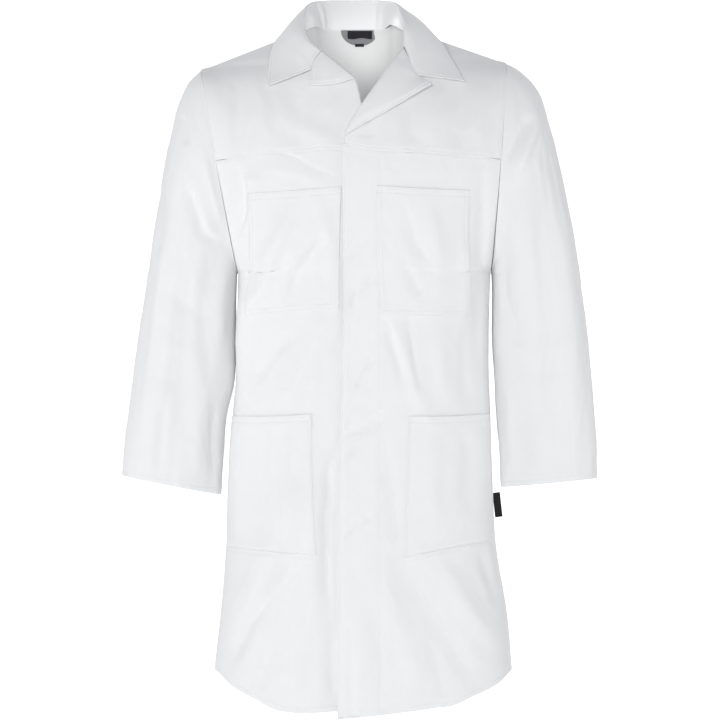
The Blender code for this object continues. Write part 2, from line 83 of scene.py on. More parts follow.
CLOTH = 0.0015          # modelled thickness of one made-up cloth layer
GAP = 0.0006            # clearance along a seam
SHOULDER_GAP = 0.0014   # each yoke's edge stops this far from the shoulder line
TOP_EASE = 0.00003      # how far a yoke's edge stops below the shoulder line
FRONT_DEPTH = ((-1.10, 0.128), (-0.80, 0.126), (-0.55, 0.120), (-0.30, 0.126), (-0.10, 0.124), (0.10, 0.120))
BACK_DEPTH = ((-1.10, 0.118), (-0.80, 0.116), (-0.55, 0.108), (-0.30, 0.118), (-0.10, 0.118), (0.10, 0.118))
ROUND = 2.5             # how square the body's plan section is
LAP = 0.0013            # how far each front is stepped off the mid surface
ARM_FRONT, ARM_BACK = 0.078, 0.084   # half depths of the armhole
CHEST_Z = -0.25         # above this height the body curves in to the shoulders

# front elevation, (u, v) of each outline, u to the wearer's left, v down
SIDE_R = ((272, 238.6), (330, 238.6), (370, 237.4), (415, 233.4), (480, 230), (545, 226.6), (614, 221), (668, 215), (730, 210))
SIDE_L = ((272, 490), (330, 488.4), (370, 488.4), (415, 490), (480, 492), (545, 495.6), (614, 507), (668, 511.6), (730, 516))
SHOULDER = {-1: (201.0, 71.0), 1: (506.0, 64.0)}
NECK = {-1: (303.0, 31.0), 1: (405.0, 29.0)}
ARMPIT_V = 272.0
YOKE_R = ((200, 163), (224.7, 159.6), (254, 153), (304.7, 150), (330, 147.6), (345, 149.5), (365, 151.5), (400, 153))
YOKE_L = ((320, 143), (344.7, 144), (368.7, 148.7), (410, 150.7), (443, 153), (476, 156), (520, 163))
HEM_R = ((205, 657), (214.6, 668.4), (232.7, 686.5), (254, 699.3), (277.5, 711), (296.7, 713.8), (336.2, 712.6), (390, 712))
HEM_L = ((330, 720), (337.3, 720), (365, 717.5), (397, 713.8), (439.7, 708.3), (450.3, 706.8), (471.7, 697.2), (503.7, 679), (512.2, 669.5), (520, 660))
EDGE_L = ((135, 342.5), (400, 341.5), (438, 339.6), (720, 337.3))   # edge of the upper front
EDGE_R = ((105, 364), (147, 379.5), (158, 379.6), (260, 379.0), (420, 378.0), (580, 377.0), (720, 376))   # edge of the under front


def curve(points):
    """A smooth function through (t, value) points in rising t."""
    t = np.array([p[0] for p in points], float)
    y = np.array([p[1] for p in points], float)
    m = np.gradient(y, t)

    def f(s):
        s = np.clip(np.asarray(s, float), t[0], t[-1])
        i = np.clip(np.searchsorted(t, s) - 1, 0, len(t) - 2)
        h = t[i + 1] - t[i]
        a = (s - t[i]) / h
        return ((2 * a**3 - 3 * a**2 + 1) * y[i] + (a**3 - 2 * a**2 + a) * h * m[i]
                + (3 * a**2 - 2 * a**3) * y[i + 1] + (a**3 - a**2) * h * m[i + 1])
    return f


def path(points, closed=False):
    """A smooth 3-D line through points, by chord length, f(0)..f(1)."""
    p = np.array(points, float)
    d = np.r_[0, np.cumsum(np.maximum(np.linalg.norm(np.diff(p, axis=0), axis=1), 1e-9))]
    d /= d[-1]
    fs = [curve(list(zip(d, p[:, k]))) for k in range(p.shape[1])]
    return lambda s: np.stack([f(s) for f in fs], -1)


def smooth(a, b, x):
    t = np.clip((np.asarray(x, float) - a) / (b - a), 0, 1)
    return t * t * (3 - 2 * t)


df, db = curve(FRONT_DEPTH), curve(BACK_DEPTH)
side_r, side_l = curve(SIDE_R), curve(SIDE_L)


def zv(v, y=0.0):
    return Z_MID + (MID_V - v) * UNIT * (STATION + y) / STATION


def xu(u, y=0.0):
    return (u - MID_U) * UNIT * (STATION + y) / STATION


def vz(z):
    return MID_V - (z - Z_MID) / UNIT


def edges(z):
    """x of the body's right and left outline: side seams, then armholes."""
    v = vz(z)
    out = []
    for s, side in ((-1, side_r), (1, side_l)):
        su, sv = SHOULDER[s]
        low = float(side(ARMPIT_V))
        t = np.clip((ARMPIT_V - v) / (ARMPIT_V - sv), 0, 1.15)
        out.append(xu(np.where(v > ARMPIT_V, side(v), low + (su - low) * t)))
    return out


def z_top(x):
    """Height of the shoulder line, carried as a low arch across the neck."""
    xs = [xu(SHOULDER[-1][0]), xu(NECK[-1][0]), xu(330), xu(354), xu(378), xu(NECK[1][0]), xu(SHOULDER[1][0])]
    zs = [zv(SHOULDER[-1][1]), zv(NECK[-1][1]), 0.022, 0.030, 0.024, zv(NECK[1][1]), zv(SHOULDER[1][1])]
    return np.interp(x, xs, zs)


def theta_of(x, z):
    r, l = edges(z)
    xi = np.clip((x - (r + l) / 2) / ((l - r) / 2), -1, 1)
    return np.sign(xi) * np.arcsin(np.abs(xi) ** (ROUND / 2))


def body(th, z, face):
    """The body surface: th from -pi/2 (right side) to pi/2 (left side)."""
    th, z = np.broadcast_arrays(np.asarray(th, float), np.asarray(z, float))
    r, l = edges(z)
    x = (r + l) / 2 + (l - r) / 2 * np.sign(th) * np.abs(np.sin(th)) ** (2 / ROUND)
    pit, top = zv(ARMPIT_V), np.where(th < 0, zv(SHOULDER[-1][1]), zv(SHOULDER[1][1]))
    mid, half = (pit + top) / 2, (top - pit) / 2
    arm = (ARM_FRONT if face < 0 else ARM_BACK) * np.sqrt(np.clip(1 - ((z - mid) / half) ** 2, 0, 1))
    q = 1 / ROUND + (0.85 - 1 / ROUND) * smooth(pit - 0.02, pit + 0.12, z)
    s = np.maximum(np.cos(th), 0) ** (2 * q)
    rise = np.clip((z - CHEST_Z) / np.maximum(z_top(x) - CHEST_Z, 1e-4), 0, 1)
    k = (1 - rise**2) ** 0.6 if face < 0 else (1 - rise**2.6) ** 0.5
    m = (df(z) if face < 0 else db(z)) * k
    return np.stack([x, face * (arm + (m - arm) * s), z], -1)


def on_body(x, z, face=-1):
    return body(theta_of(x, z), z, face)


def front_at(u, v, off=0.0):
    """World point of an elevation point lying on the front, off it by `off`."""
    y = -0.1
    for _ in range(6):
        x, z = xu(u, y), zv(v, y)
        y = on_body(x, z)[..., 1] - off
    return np.stack([x, y, z], -1)



# ================================================================ helpers
rng = np.random.default_rng(7)


def vnoise(x, y, seed=0):
    """Smooth lattice noise in about -1..1."""
    r = np.random.default_rng(seed)
    N = 64
    L = r.uniform(-1, 1, (N, N))
    xi, yi = np.floor(x).astype(int), np.floor(y).astype(int)
    fx, fy = x - xi, y - yi
    fx = fx**3 * (fx * (6 * fx - 15) + 10)
    fy = fy**3 * (fy * (6 * fy - 15) + 10)
    g = lambda i, j: L[i % N, j % N]
    return ((g(xi, yi) * (1 - fx) + g(xi + 1, yi) * fx) * (1 - fy)
            + (g(xi, yi + 1) * (1 - fx) + g(xi + 1, yi + 1) * fx) * fy)


def seg_dist(px, py, pts):
    """Distance to a polyline smoothed through pts, and place along it (0..1)."""
    pts = np.array(pts, float)
    if len(pts) > 2:
        f = path(pts)
        pts = f(np.linspace(0, 1, 4 * len(pts)))
    best = np.full(px.shape, 1e9)
    at = np.zeros(px.shape)
    side = np.zeros(px.shape)
    L = np.r_[0, np.cumsum(np.linalg.norm(np.diff(pts, axis=0), axis=1))]
    for k in range(len(pts) - 1):
        a, b = pts[k], pts[k + 1]
        d = b - a
        n2 = d @ d
        t = np.clip(((px - a[0]) * d[0] + (py - a[1]) * d[1]) / n2, 0, 1)
        qx, qy = px - a[0] - t * d[0], py - a[1] - t * d[1]
        dist = np.hypot(qx, qy)
        m = dist < best
        best = np.where(m, dist, best)
        at = np.where(m, (L[k] + t * math.sqrt(n2)) / L[-1], at)
        side = np.where(m, np.sign(d[0] * qy - d[1] * qx), side)
    return best, at, side


def fold(px, py, pts, width, height, skew=0.0, tail=0.25):
    """A ridge (height > 0) or valley along a line, steeper on one side if skewed."""
    d, t, s = seg_dist(px, py, pts)
    w = width * (1 + skew * s)
    e = smooth(0, tail, t) * smooth(0, tail, 1 - t)
    # past the ends the line fades with distance as well
    return height * 1e-3 * np.exp(-(d / w) ** 2) * (0.25 + 0.75 * e)


# (line in elevation, width, height mm, skew): the coat's own folds
FOLDS_BODY = [
    # right front (image left)
    (((297, 196), (286, 223), (272.7, 257), (262, 290), (247, 312), (243, 335), (244, 390)), 9, 5.0, 0.2),
    (((330, 300), (318, 335), (297, 376), (275, 418)), 13, 4.0, 0.0),
    (((329, 232), (307, 257), (296.7, 274), (288.7, 300)), 7, -3.6, -0.2),
    (((240.6, 172), (245, 196), (244, 214), (240, 232)), 4.5, -3.2, 0.3),
    (((250, 170), (254, 192), (252, 220)), 7, 2.0, 0.0),
    (((240, 412), (239, 470), (238, 548)), 8, 3.0, 0.2),
    (((262, 395), (258, 450), (262, 520)), 10, -2.6, 0.0),
    (((304, 470), (296, 500), (272, 552), (250, 622)), 14, 4.5, 0.1),
    (((300, 560), (272, 592), (245, 632), (226, 672)), 9, -4.2, 0.2),
    (((337, 452), (330, 464), (328.4, 498), (324, 517), (326, 534), (325, 558), (328, 606)), 4.5, -4.2, 0.35),
    (((318, 470), (314, 520), (312, 570), (316, 640)), 8, 2.2, 0.0),
    (((312, 600), (300, 640), (290, 700)), 11, 3.0, 0.0),
    (((335, 610), (330, 650), (333, 706)), 7, -2.2, 0.0),
    (((270, 640), (262, 668), (256, 694)), 8, -2.6, 0.0),
    (((270, 150), (290, 155), (320, 170), (338, 178)), 3.2, -0.8, 0.4),
    (((262, 168), (292, 172), (322, 184)), 5, 0.7, 0.0),
    (((322, 205), (333, 260), (334, 330)), 7, 1.8, 0.0),
    (((300, 330), (275, 352), (252, 388)), 7, -2.4, 0.2),
    (((310, 395), (296, 440), (290, 500)), 9, -2.2, 0.0),
    # left front (image right)
    (((378, 268), (366, 283), (354, 296), (353, 312)), 4, -2.4, 0.3),
    (((376, 354), (365, 370), (354, 392)), 4, -2.4, 0.3),
    (((383, 416), (371, 425), (345.6, 436)), 3.6, -2.6, 0.3),
    (((381, 420), (362, 440), (345, 462)), 4.0, -2.2, 0.3),
    (((372, 512), (358, 524), (345, 537)), 4, -1.8, 0.3),
    (((372, 232), (358, 248), (347, 262)), 4, -1.4, 0.3),
    (((408, 214), (415, 241), (429, 263)), 5.5, -2.6, 0.2),
    (((408, 264), (413, 280), (422, 296)), 5, -2.2, 0.2),
    (((427, 205), (436, 240), (440, 285)), 9, 2.4, 0.0),
    (((387, 322), (396, 354), (403, 384)), 5, -2.8, 0.2),
    (((392, 318), (408, 366), (427, 420)), 8, 3.2, 0.0),
    (((409, 322), (416, 366), (420, 396)), 4.5, -3.0, -0.2),
    (((440, 322), (440, 360), (447, 404)), 9, 2.6, 0.0),
    (((470, 322), (466, 360), (470, 412)), 8, -2.8, 0.0),
    (((386, 440), (392, 500), (398, 556)), 7, -2.2, 0.0),
    (((398, 556), (420, 592), (442, 628), (476, 684)), 11, -4.6, 0.2),
    (((380, 575), (398, 620), (420, 690)), 13, 3.6, 0.0),
    (((440, 560), (462, 600), (492, 640)), 11, 3.8, 0.0),
    (((480, 548), (490, 580), (500, 610)), 6, -2.6, 0.0),
    (((352, 590), (358, 640), (362, 708)), 8, 1.8, 0.0),
    (((371, 610), (378, 660), (384, 706)), 6, -1.8, 0.0),
    (((432, 640), (440, 672), (446, 700)), 7, -2.4, 0.0),
    (((483, 165), (484, 240), (480, 330), (482, 400)), 6.5, -3.6, 0.2),
    (((464, 240), (466, 290), (462, 318)), 7, 2.0, 0.0),
    (((437, 430), (430, 470), (436, 520)), 10, 2.4, 0.0),
    (((462, 425), (470, 470), (465, 520)), 9, -2.2, 0.0),
    # yokes
    (((368, 100), (367, 122), (370, 143)), 6, -1.5, 0.0),
    (((410, 96), (409, 120), (412, 146)), 7, -1.8, 0.0),
    (((432, 84), (434, 112), (432, 146)), 9, 1.6, 0.0),
    (((456, 76), (458, 112), (455, 150)), 7, -2.0, 0.0),
    (((484, 78), (480, 110), (480, 150)), 8, 1.4, 0.0),
    (((258, 72), (262, 108), (266, 146)), 9, 1.6, 0.0),
    (((240, 78), (236, 112), (238, 150)), 7, -1.6, 0.0),
    (((300, 96), (296, 120), (300, 146)), 9, -1.2, 0.0),
    (((276, 100), (300, 128), (340, 140)), 9, 1.2, 0.0),
]


FOLD_GAIN = 1.55


def drape(px, py):
    """Height of the cloth off its smooth surface, m, at elevation points."""
    h = np.zeros(px.shape)
    for pts, w, a, k in FOLDS_BODY:
        x0, x1 = min(p[0] for p in pts) - 4 * w, max(p[0] for p in pts) + 4 * w
        y0, y1 = min(p[1] for p in pts) - 4 * w, max(p[1] for p in pts) + 4 * w
        m = (px > x0) & (px < x1) & (py > y0) & (py < y1)
        if m.any():
            h[m] += FOLD_GAIN * fold(px[m], py[m], pts, w, a, k)
    # long hanging waves, deeper to the hem
    low = smooth(330, 720, py)
    wx = px + 10 * vnoise(px / 70, py / 120, 3)
    h += (0.0006 + 0.0022 * low) * vnoise(wx / 34, py / 260, 11)
    h += (0.0004 + 0.0010 * low) * vnoise(wx / 15, py / 150, 12)
    h += crumple(px, py)
    return h


def crumple(px, py, k=1.0):
    """Soft creases left in pressed cotton: narrow on one side, broad on the other."""
    a = vnoise(px / 26 + 0.35 * vnoise(px / 18, py / 18, 5), py / 34 + 0.35 * vnoise(px / 18, py / 18, 6), 21)
    b = vnoise(px / 11 + 0.4 * vnoise(px / 9, py / 9, 7), py / 14, 22)
    c = vnoise((px + 0.5 * py) / 16, (py - 0.5 * px) / 40, 23)
    d = vnoise((px - 0.6 * py) / 14, (py + 0.6 * px) / 36, 24)
    return k * (0.0007 * (0.6 - np.abs(a)) + 0.00022 * b + 0.0006 * (0.5 - np.abs(c)) + 0.0005 * (0.5 - np.abs(d)))


def elev(P):
    k = STATION / (STATION + P[..., 1])
    return MID_U + P[..., 0] / UNIT * k, MID_V - (P[..., 2] - Z_MID) / UNIT * k


def normals(P, wrap=False):
    du = (np.roll(P, -1, 0) - np.roll(P, 1, 0)) if wrap else np.gradient(P, axis=0)
    dw = np.gradient(P, axis=1)
    n = np.cross(du, dw)
    return n / np.maximum(np.linalg.norm(n, axis=-1, keepdims=True), 1e-12)


def spaced(length, step, fine0=False, fine1=False, band=0.011, small=0.0006):
    """Parameters 0..1 along `length`, close together in the bands beside sewn edges."""
    step *= FINE
    small *= FINE
    band = min(band, length * 0.4)
    a = list(np.arange(0, band, small)) if fine0 else [0.0]
    b = list(length - np.arange(0, band, small)) if fine1 else [length]
    lo, hi = a[-1], b[-1]
    n = max(2, int(round((hi - lo) / step)))
    mid = list(np.linspace(lo, hi, n + 1)[1:-1])
    return np.array(a + mid + b[::-1]) / length


def soften(P, rounds, axis=1):
    """Round off creases in one coordinate of a grid, leaving its border where it is."""
    P = P.copy()
    f = P[..., axis]
    border = np.ones(f.shape, bool)
    border[1:-1, 1:-1] = False
    f0 = f.copy()
    for _ in range(rounds):
        g = f.copy()
        g[1:-1, 1:-1] = 0.5 * f[1:-1, 1:-1] + 0.125 * (f[2:, 1:-1] + f[:-2, 1:-1] + f[1:-1, 2:] + f[1:-1, :-2])
        f = np.where(border, f0, g)
    P[..., axis] = f
    return P


def edge_dist(P, wrap=False):
    """Metric distance of each grid point from the l, r, t, b edges."""
    du = np.linalg.norm(np.diff(P, axis=0), axis=-1)
    dw = np.linalg.norm(np.diff(P, axis=1), axis=-1)
    l = np.vstack([np.zeros((1, P.shape[1])), np.cumsum(du, 0)])
    t = np.hstack([np.zeros((P.shape[0], 1)), np.cumsum(dw, 1)])
    return {"l": l, "r": l[-1:] - l, "t": t, "b": t[:, -1:] - t, "su": l, "sw": t}


def relief(D, sewn, thick, along_seed=0):
    """Rounded edges and stitch grooves. sewn: {"l": (distance, ...), ...}."""
    h = np.zeros(D["l"].shape)
    for e, rows in sewn.items():
        d = D[e]
        s = D["sw"] if e in "lr" else D["su"]
        for r in rows:
            puck = 1 + 0.55 * vnoise(s / 0.011 + r * 900, s * 0 + along_seed, 31 + along_seed) + 0.3 * vnoise(s / 0.0045, s * 0 + 3.3, 32)
            h -= 0.00036 * puck * np.exp(-((d - r) / 0.0010) ** 2)
            # the cloth swells a little on both sides of the thread
            h += 0.00010 * puck * np.exp(-((d - r - 0.0030) / 0.0022) ** 2)
            if r > 0.003:
                h += 0.00010 * puck * np.exp(-((d - r * 0.45) / (r * 0.35)) ** 2)
    return h


def edge_round(D, which, thick):
    k = np.ones(D["l"].shape)
    r = thick * 0.7
    for e in which:
        q = np.clip(1 - D[e] / r, 0, 1)
        k = np.minimum(k, np.sqrt(np.maximum(1 - q * q, 0.0)))
    return 0.12 + 0.88 * k


def obj(name, verts, faces, mat):
    me = bpy.data.meshes.new(name)
    verts = np.ascontiguousarray(verts, dtype=np.float32)
    faces = np.ascontiguousarray(faces, dtype=np.int32)
    me.vertices.add(len(verts))
    me.vertices.foreach_set("co", verts.ravel())
    nf, k = faces.shape
    me.loops.add(nf * k)
    me.loops.foreach_set("vertex_index", faces.ravel())
    me.polygons.add(nf)
    me.polygons.foreach_set("loop_start", np.arange(nf, dtype=np.int32) * k)
    me.polygons.foreach_set("use_smooth", np.ones(nf, dtype=bool))
    me.update(calc_edges=True)
    me.materials.append(mat)
    o = bpy.data.objects.new(name, me)
    bpy.context.scene.collection.objects.link(o)
    return o


def add_uv(o, uv):
    lay = o.data.uv_layers.new(name="UVMap")
    idx = np.empty(len(o.data.loops), dtype=np.int32)
    o.data.loops.foreach_get("vertex_index", idx)
    lay.data.foreach_set("uv", np.ascontiguousarray(uv[idx], dtype=np.float32).ravel())


SURF = {}        # outer surface grids kept for threads and things laid on them


def sheet_obj(name, P, mat, thick=0.0011, sewn=None, rounded="lrtb", wrap=False, outward=None, extra=None, nrm=None, opened="", end_n=None):
    """A cloth piece: grid P thickened; the side facing `outward` carries the relief."""
    D = edge_dist(P)
    n = normals(P, wrap) if nrm is None else nrm
    if outward is not None and nrm is None:
        ref = outward(P) if callable(outward) else np.array(outward, float)
        if np.mean(np.sum(n * ref, -1)) < 0:
            n = -n
    h = relief(D, sewn or {}, thick, len(name))
    if extra is not None:
        h = h + extra(D)
    k = edge_round(D, rounded, thick) if rounded else np.ones(h.shape)
    A = P + n * (thick / 2 * k + h)[..., None]
    B = P + n * (-thick / 2 * k + h * 0.6)[..., None]
    nu, nw = P.shape[:2]
    N = nu * nw
    i = np.arange(nu if wrap else nu - 1)
    j = np.arange(nw - 1)
    I, J = np.meshgrid(i, j, indexing="ij")
    I2 = (I + 1) % nu
    q = np.stack([I * nw + J, I2 * nw + J, I2 * nw + J + 1, I * nw + J + 1], -1).reshape(-1, 4)
    faces = [q, N + q[:, ::-1]]
    ii = np.arange(nu if wrap else nu - 1)
    i2 = (ii + 1) % nu
    e = []
    if "t" not in opened:
        e.append(np.stack([i2 * nw, ii * nw], -1))
    if "b" not in opened:
        e.append(np.stack([ii * nw + nw - 1, i2 * nw + nw - 1], -1))
    if not wrap:
        jj = np.arange(nw - 1)
        e += [np.stack([jj, jj + 1], -1), np.stack([(nu - 1) * nw + jj + 1, (nu - 1) * nw + jj], -1)]
    e = np.vstack(e)
    faces.append(np.stack([e[:, 0], e[:, 1], N + e[:, 1], N + e[:, 0]], -1))
    faces = np.vstack(faces)
    verts = np.vstack([A.reshape(-1, 3), B.reshape(-1, 3)])
    # winding: make the volume positive
    t = np.vstack([faces[:, :3], faces[:, [0, 2, 3]]])
    a, b, c = verts[t[:, 0]], verts[t[:, 1]], verts[t[:, 2]]
    if np.sum(a * np.cross(b, c)) < 0:
        faces = faces[:, ::-1]
    o = obj(name, verts, faces, mat)
    if end_n is not None:
        # one smooth surface across the ring where two pieces of the tube meet
        side, na, nb = end_n
        cn = np.zeros((2, nu, nw, 3))
        j = 0 if side == "t" else nw - 1
        cn[0, :, j], cn[1, :, j] = na, nb
        o.data.normals_split_custom_set_from_vertices([tuple(v) for v in cn.reshape(-1, 3).tolist()])
    uv = np.stack([D["su"], D["sw"]], -1).reshape(-1, 2)
    add_uv(o, np.vstack([uv, uv + [5.0, 0]]))
    SURF[name] = dict(A=A, B=B, n=n, D=D, P=P, wrap=wrap)
    area = float(np.linalg.norm(np.cross(np.diff(P, axis=0)[:, :-1], np.diff(P, axis=1)[:-1]), axis=-1).sum())
    SURF[name]["flat"] = (float(D["su"][-1].max()), float(D["sw"][:, -1].max()), area)
    return o


def declare(o, held="hung", rests=("neck_support",), with_pieces=(), extra_w=0.0):
    PENDING[o.name] = [o, held, list(rests), list(with_pieces), extra_w]


def declare_all():
    for o, held, rests, parts, extra_w in PENDING.values():
        w, l, area = SURF[o.name]["flat"]
        if area < 0.5 * w * l:      # a long narrow cut laid slantwise on its grid
            w, l = max(w, l), area / (0.66 * max(w, l))
        w, l = math.ceil((w * 1.01 + extra_w) * 1e4) / 1e4, math.ceil(l * 1.01 * 1e4) / 1e4
        a = round(min(area, w * l), 6)
        SHEETS.append((o.name, w, l, a))


PENDING = {}
SHEETS = []


def thread(name, lines, mat, pitch=0.0030, length=0.0024, radius=0.00024):
    """Stitches along lines of points with normals: [(points, normals), ...]."""
    ring = 5
    prof = ((-0.5, 0.0), (-0.42, 0.75), (0.0, 1.0), (0.42, 0.75), (0.5, 0.0))
    V, F = [], []
    for pts, nr in lines:
        d = np.r_[0, np.cumsum(np.linalg.norm(np.diff(pts, axis=0), axis=1))]
        n = int(d[-1] / pitch)
        if n < 1:
            continue
        s = (np.arange(n) + 0.5) * pitch
        c = np.stack([np.interp(s, d, pts[:, k]) for k in range(3)], -1)
        c2 = np.stack([np.interp(s + 0.0004, d, pts[:, k]) for k in range(3)], -1)
        t = c2 - c
        t /= np.maximum(np.linalg.norm(t, axis=1, keepdims=True), 1e-9)
        m = np.stack([np.interp(s, d, nr[:, k]) for k in range(3)], -1)
        m -= t * np.sum(m * t, 1, keepdims=True)
        m /= np.maximum(np.linalg.norm(m, axis=1, keepdims=True), 1e-9)
        b = np.cross(t, m)
        base = 0
        for k in range(n):
            off = len(V)
            V.append(c[k] + t[k] * prof[0][0] * length - m[k] * radius * 0.6)
            for z, r in prof[1:-1]:
                for q in range(ring):
                    a = 2 * math.pi * q / ring
                    lift = radius * (0.25 if z == 0 else -0.25)
                    V.append(c[k] + t[k] * z * length + m[k] * (lift + math.sin(a) * r * radius) + b[k] * math.cos(a) * r * radius)
            V.append(c[k] + t[k] * prof[-1][0] * length - m[k] * radius * 0.6)
            for q in range(ring):
                q2 = (q + 1) % ring
                F.append((off, off + 1 + q2, off + 1 + q, off + 1 + q))
                for lv in range(2):
                    a0, a1 = off + 1 + lv * ring, off + 1 + (lv + 1) * ring
                    F.append((a0 + q, a0 + q2, a1 + q2, a1 + q))
                e = off + 1 + 2 * ring
                F.append((e + q, e + q2, off + 1 + 3 * ring, off + 1 + 3 * ring))
    me = bpy.data.meshes.new(name)
    faces = [tuple(dict.fromkeys(f)) for f in F]
    me.from_pydata([tuple(v) for v in V], [], faces)
    me.update()
    me.polygons.foreach_set("use_smooth", [True] * len(me.polygons))
    me.materials.append(mat)
    o = bpy.data.objects.new(name, me)
    bpy.context.scene.collection.objects.link(o)
    return o


def iso(name, edge, dist, lo=0.0, hi=1.0, lift=0.00012):
    """A line on a piece's outer surface at a distance from one of its edges."""
    S = SURF[name]
    A, n, D = S["A"], S["n"], S["D"]
    d = D[edge]
    pts, nr = [], []
    if edge in "lr":
        for j in range(A.shape[1]):
            col = d[:, j]
            o = np.argsort(col)
            if col.max() < dist:
                continue
            pts.append([np.interp(dist, col[o], A[o, j, k]) for k in range(3)])
            nr.append([np.interp(dist, col[o], n[o, j, k]) for k in range(3)])
    else:
        for i in range(A.shape[0]):
            row = d[i]
            o = np.argsort(row)
            if row.max() < dist:
                continue
            pts.append([np.interp(dist, row[o], A[i, o, k]) for k in range(3)])
            nr.append([np.interp(dist, row[o], n[i, o, k]) for k in range(3)])
    pts, nr = np.array(pts), np.array(nr)
    if S["wrap"] and edge in "tb":
        pts, nr = np.vstack([pts, pts[:1]]), np.vstack([nr, nr[:1]])
    m = len(pts)
    a, b = int(lo * (m - 1)), int(hi * (m - 1)) + 1
    return pts[a:b] + nr[a:b] * lift, nr[a:b]


# ================================================================ materials
def cloth_mat(name, rgb, rough=0.92, weave=2600.0, bump=0.10, sheen=0.6, stain=0.02):
    m = bpy.data.materials.new(name)
    m.use_nodes = True
    nt = m.node_tree
    b = nt.nodes["Principled BSDF"]
    b.inputs["Roughness"].default_value = rough
    b.inputs["Sheen Weight"].default_value = sheen
    b.inputs["Sheen Roughness"].default_value = 0.6
    b.inputs["Specular IOR Level"].default_value = 0.25
    tc = nt.nodes.new("ShaderNodeTexCoord")
    uv = nt.nodes.new("ShaderNodeUVMap")
    uv.uv_map = "UVMap"

    def wave(axis, scale):
        w = nt.nodes.new("ShaderNodeTexWave")
        w.wave_type = "BANDS"
        w.bands_direction = axis
        w.inputs["Scale"].default_value = scale
        w.inputs["Distortion"].default_value = 0.6
        w.inputs["Detail"].default_value = 1.0
        w.inputs["Detail Scale"].default_value = 3.0
        nt.links.new(uv.outputs["UV"], w.inputs["Vector"])
        return w
    a, c = wave("X", weave * 0.05), wave("Y", weave * 0.05)
    mx = nt.nodes.new("ShaderNodeMath")
    mx.operation = "MULTIPLY"
    nt.links.new(a.outputs["Fac"], mx.inputs[0])
    nt.links.new(c.outputs["Fac"], mx.inputs[1])
    no = nt.nodes.new("ShaderNodeTexNoise")
    no.inputs["Scale"].default_value = 260.0
    no.inputs["Detail"].default_value = 4.0
    nt.links.new(tc.outputs["Object"], no.inputs["Vector"])
    ad = nt.nodes.new("ShaderNodeMath")
    ad.operation = "MULTIPLY_ADD"
    ad.inputs[1].default_value = 0.7
    nt.links.new(no.outputs["Fac"], ad.inputs[0])
    nt.links.new(mx.outputs[0], ad.inputs[2])
    bp = nt.nodes.new("ShaderNodeBump")
    bp.inputs["Strength"].default_value = bump
    bp.inputs["Distance"].default_value = 0.0004
    nt.links.new(ad.outputs[0], bp.inputs["Height"])
    nt.links.new(bp.outputs["Normal"], b.inputs["Normal"])
    # very slight unevenness of the white
    big = nt.nodes.new("ShaderNodeTexNoise")
    big.inputs["Scale"].default_value = 9.0
    big.inputs["Detail"].default_value = 3.0
    nt.links.new(tc.outputs["Object"], big.inputs["Vector"])
    mixc = nt.nodes.new("ShaderNodeMix")
    mixc.data_type = "RGBA"
    mixc.inputs["A"].default_value = (*[c * (1 - stain) for c in rgb], 1)
    mixc.inputs["B"].default_value = (*rgb, 1)
    nt.links.new(big.outputs["Fac"], mixc.inputs["Factor"])
    nt.links.new(mixc.outputs["Result"], b.inputs["Base Color"])
    m.diffuse_color = (*rgb, 1)
    return m


def plain_mat(name, rgb, rough, metal=0.0):
    m = bpy.data.materials.new(name)
    m.use_nodes = True
    b = m.node_tree.nodes["Principled BSDF"]
    b.inputs["Base Color"].default_value = (*rgb, 1)
    b.inputs["Roughness"].default_value = rough
    b.inputs["Metallic"].default_value = metal
    m.diffuse_color = (*rgb, 1)
    return m


WHITE = (0.815, 0.825, 0.822)
CLOTH_M = cloth_mat("coat_cotton", WHITE)
THREAD_M = plain_mat("thread_white", (0.80, 0.81, 0.81), 0.6)
GREY_M = cloth_mat("patch_grey", (0.23, 0.235, 0.25), 0.9, stain=0.1)
BLACK_M = cloth_mat("label_black", (0.012, 0.012, 0.014), 0.75, stain=0.1, sheen=0.1)
METAL_M = plain_mat("snap_nickel", (0.70, 0.70, 0.68), 0.32, 0.95)
CT = 0.0011              # cloth thickness in the look

# ================================================================ fronts
side_name = {-1: "right", 1: "left"}


def tie_front(o):
    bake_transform(o)


def ride_torso(o):
    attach(o, "torso")


def edge_x(s, z):
    e = EDGE_L if s > 0 else EDGE_R
    y = -0.124
    v = MID_V - (z - Z_MID) / (UNIT * (STATION + y) / STATION)
    return xu(curve(e)(v), y)


def line_z(points, x, y):
    u = MID_U + x / (UNIT * (STATION + y) / STATION)
    return zv(curve(points)(u), y)


def lap(s, th):
    return s * LAP * (1 - smooth(0.25, 0.95, np.abs(th)))


def outn(P, face=-1):
    n = normals(P)
    return -n if np.mean(n[..., 1]) * face < 0 else n


def fade_edges(th):
    """Folds die out at the side seams, where the cloth is held."""
    return 1 - 0.75 * smooth(1.25, 1.56, np.abs(th))


def front_smooth(s, u, w, edge=0.0, wide=None, w0=0.0, w1=1.0):
    z = np.full(np.broadcast(u, w).shape, -0.5)
    side = s * (math.pi / 2)
    for _ in range(7):
        th0 = theta_of(edge_x(s, z) + edge, z)
        if wide is None:
            th = th0 + (side - th0) * u
        else:
            th = theta_of(edge_x(s, z) + edge + (wide if s > 0 else -wide) * u, z)
        p = body(th, z, -1)
        zt = line_z(YOKE_L if s > 0 else YOKE_R, p[..., 0], p[..., 1])
        zb = line_z(HEM_L if s > 0 else HEM_R, p[..., 0], p[..., 1])
        z = zt + (zb - zt) * (w0 + (w1 - w0) * w)
    return body(th, z, -1), th


def placket_puff(px, py):
    """The upper front's edge stands a little proud; its fly is a double band."""
    band = smooth(382, 377, px) * smooth(341, 344, px)
    return 0.0005 * band


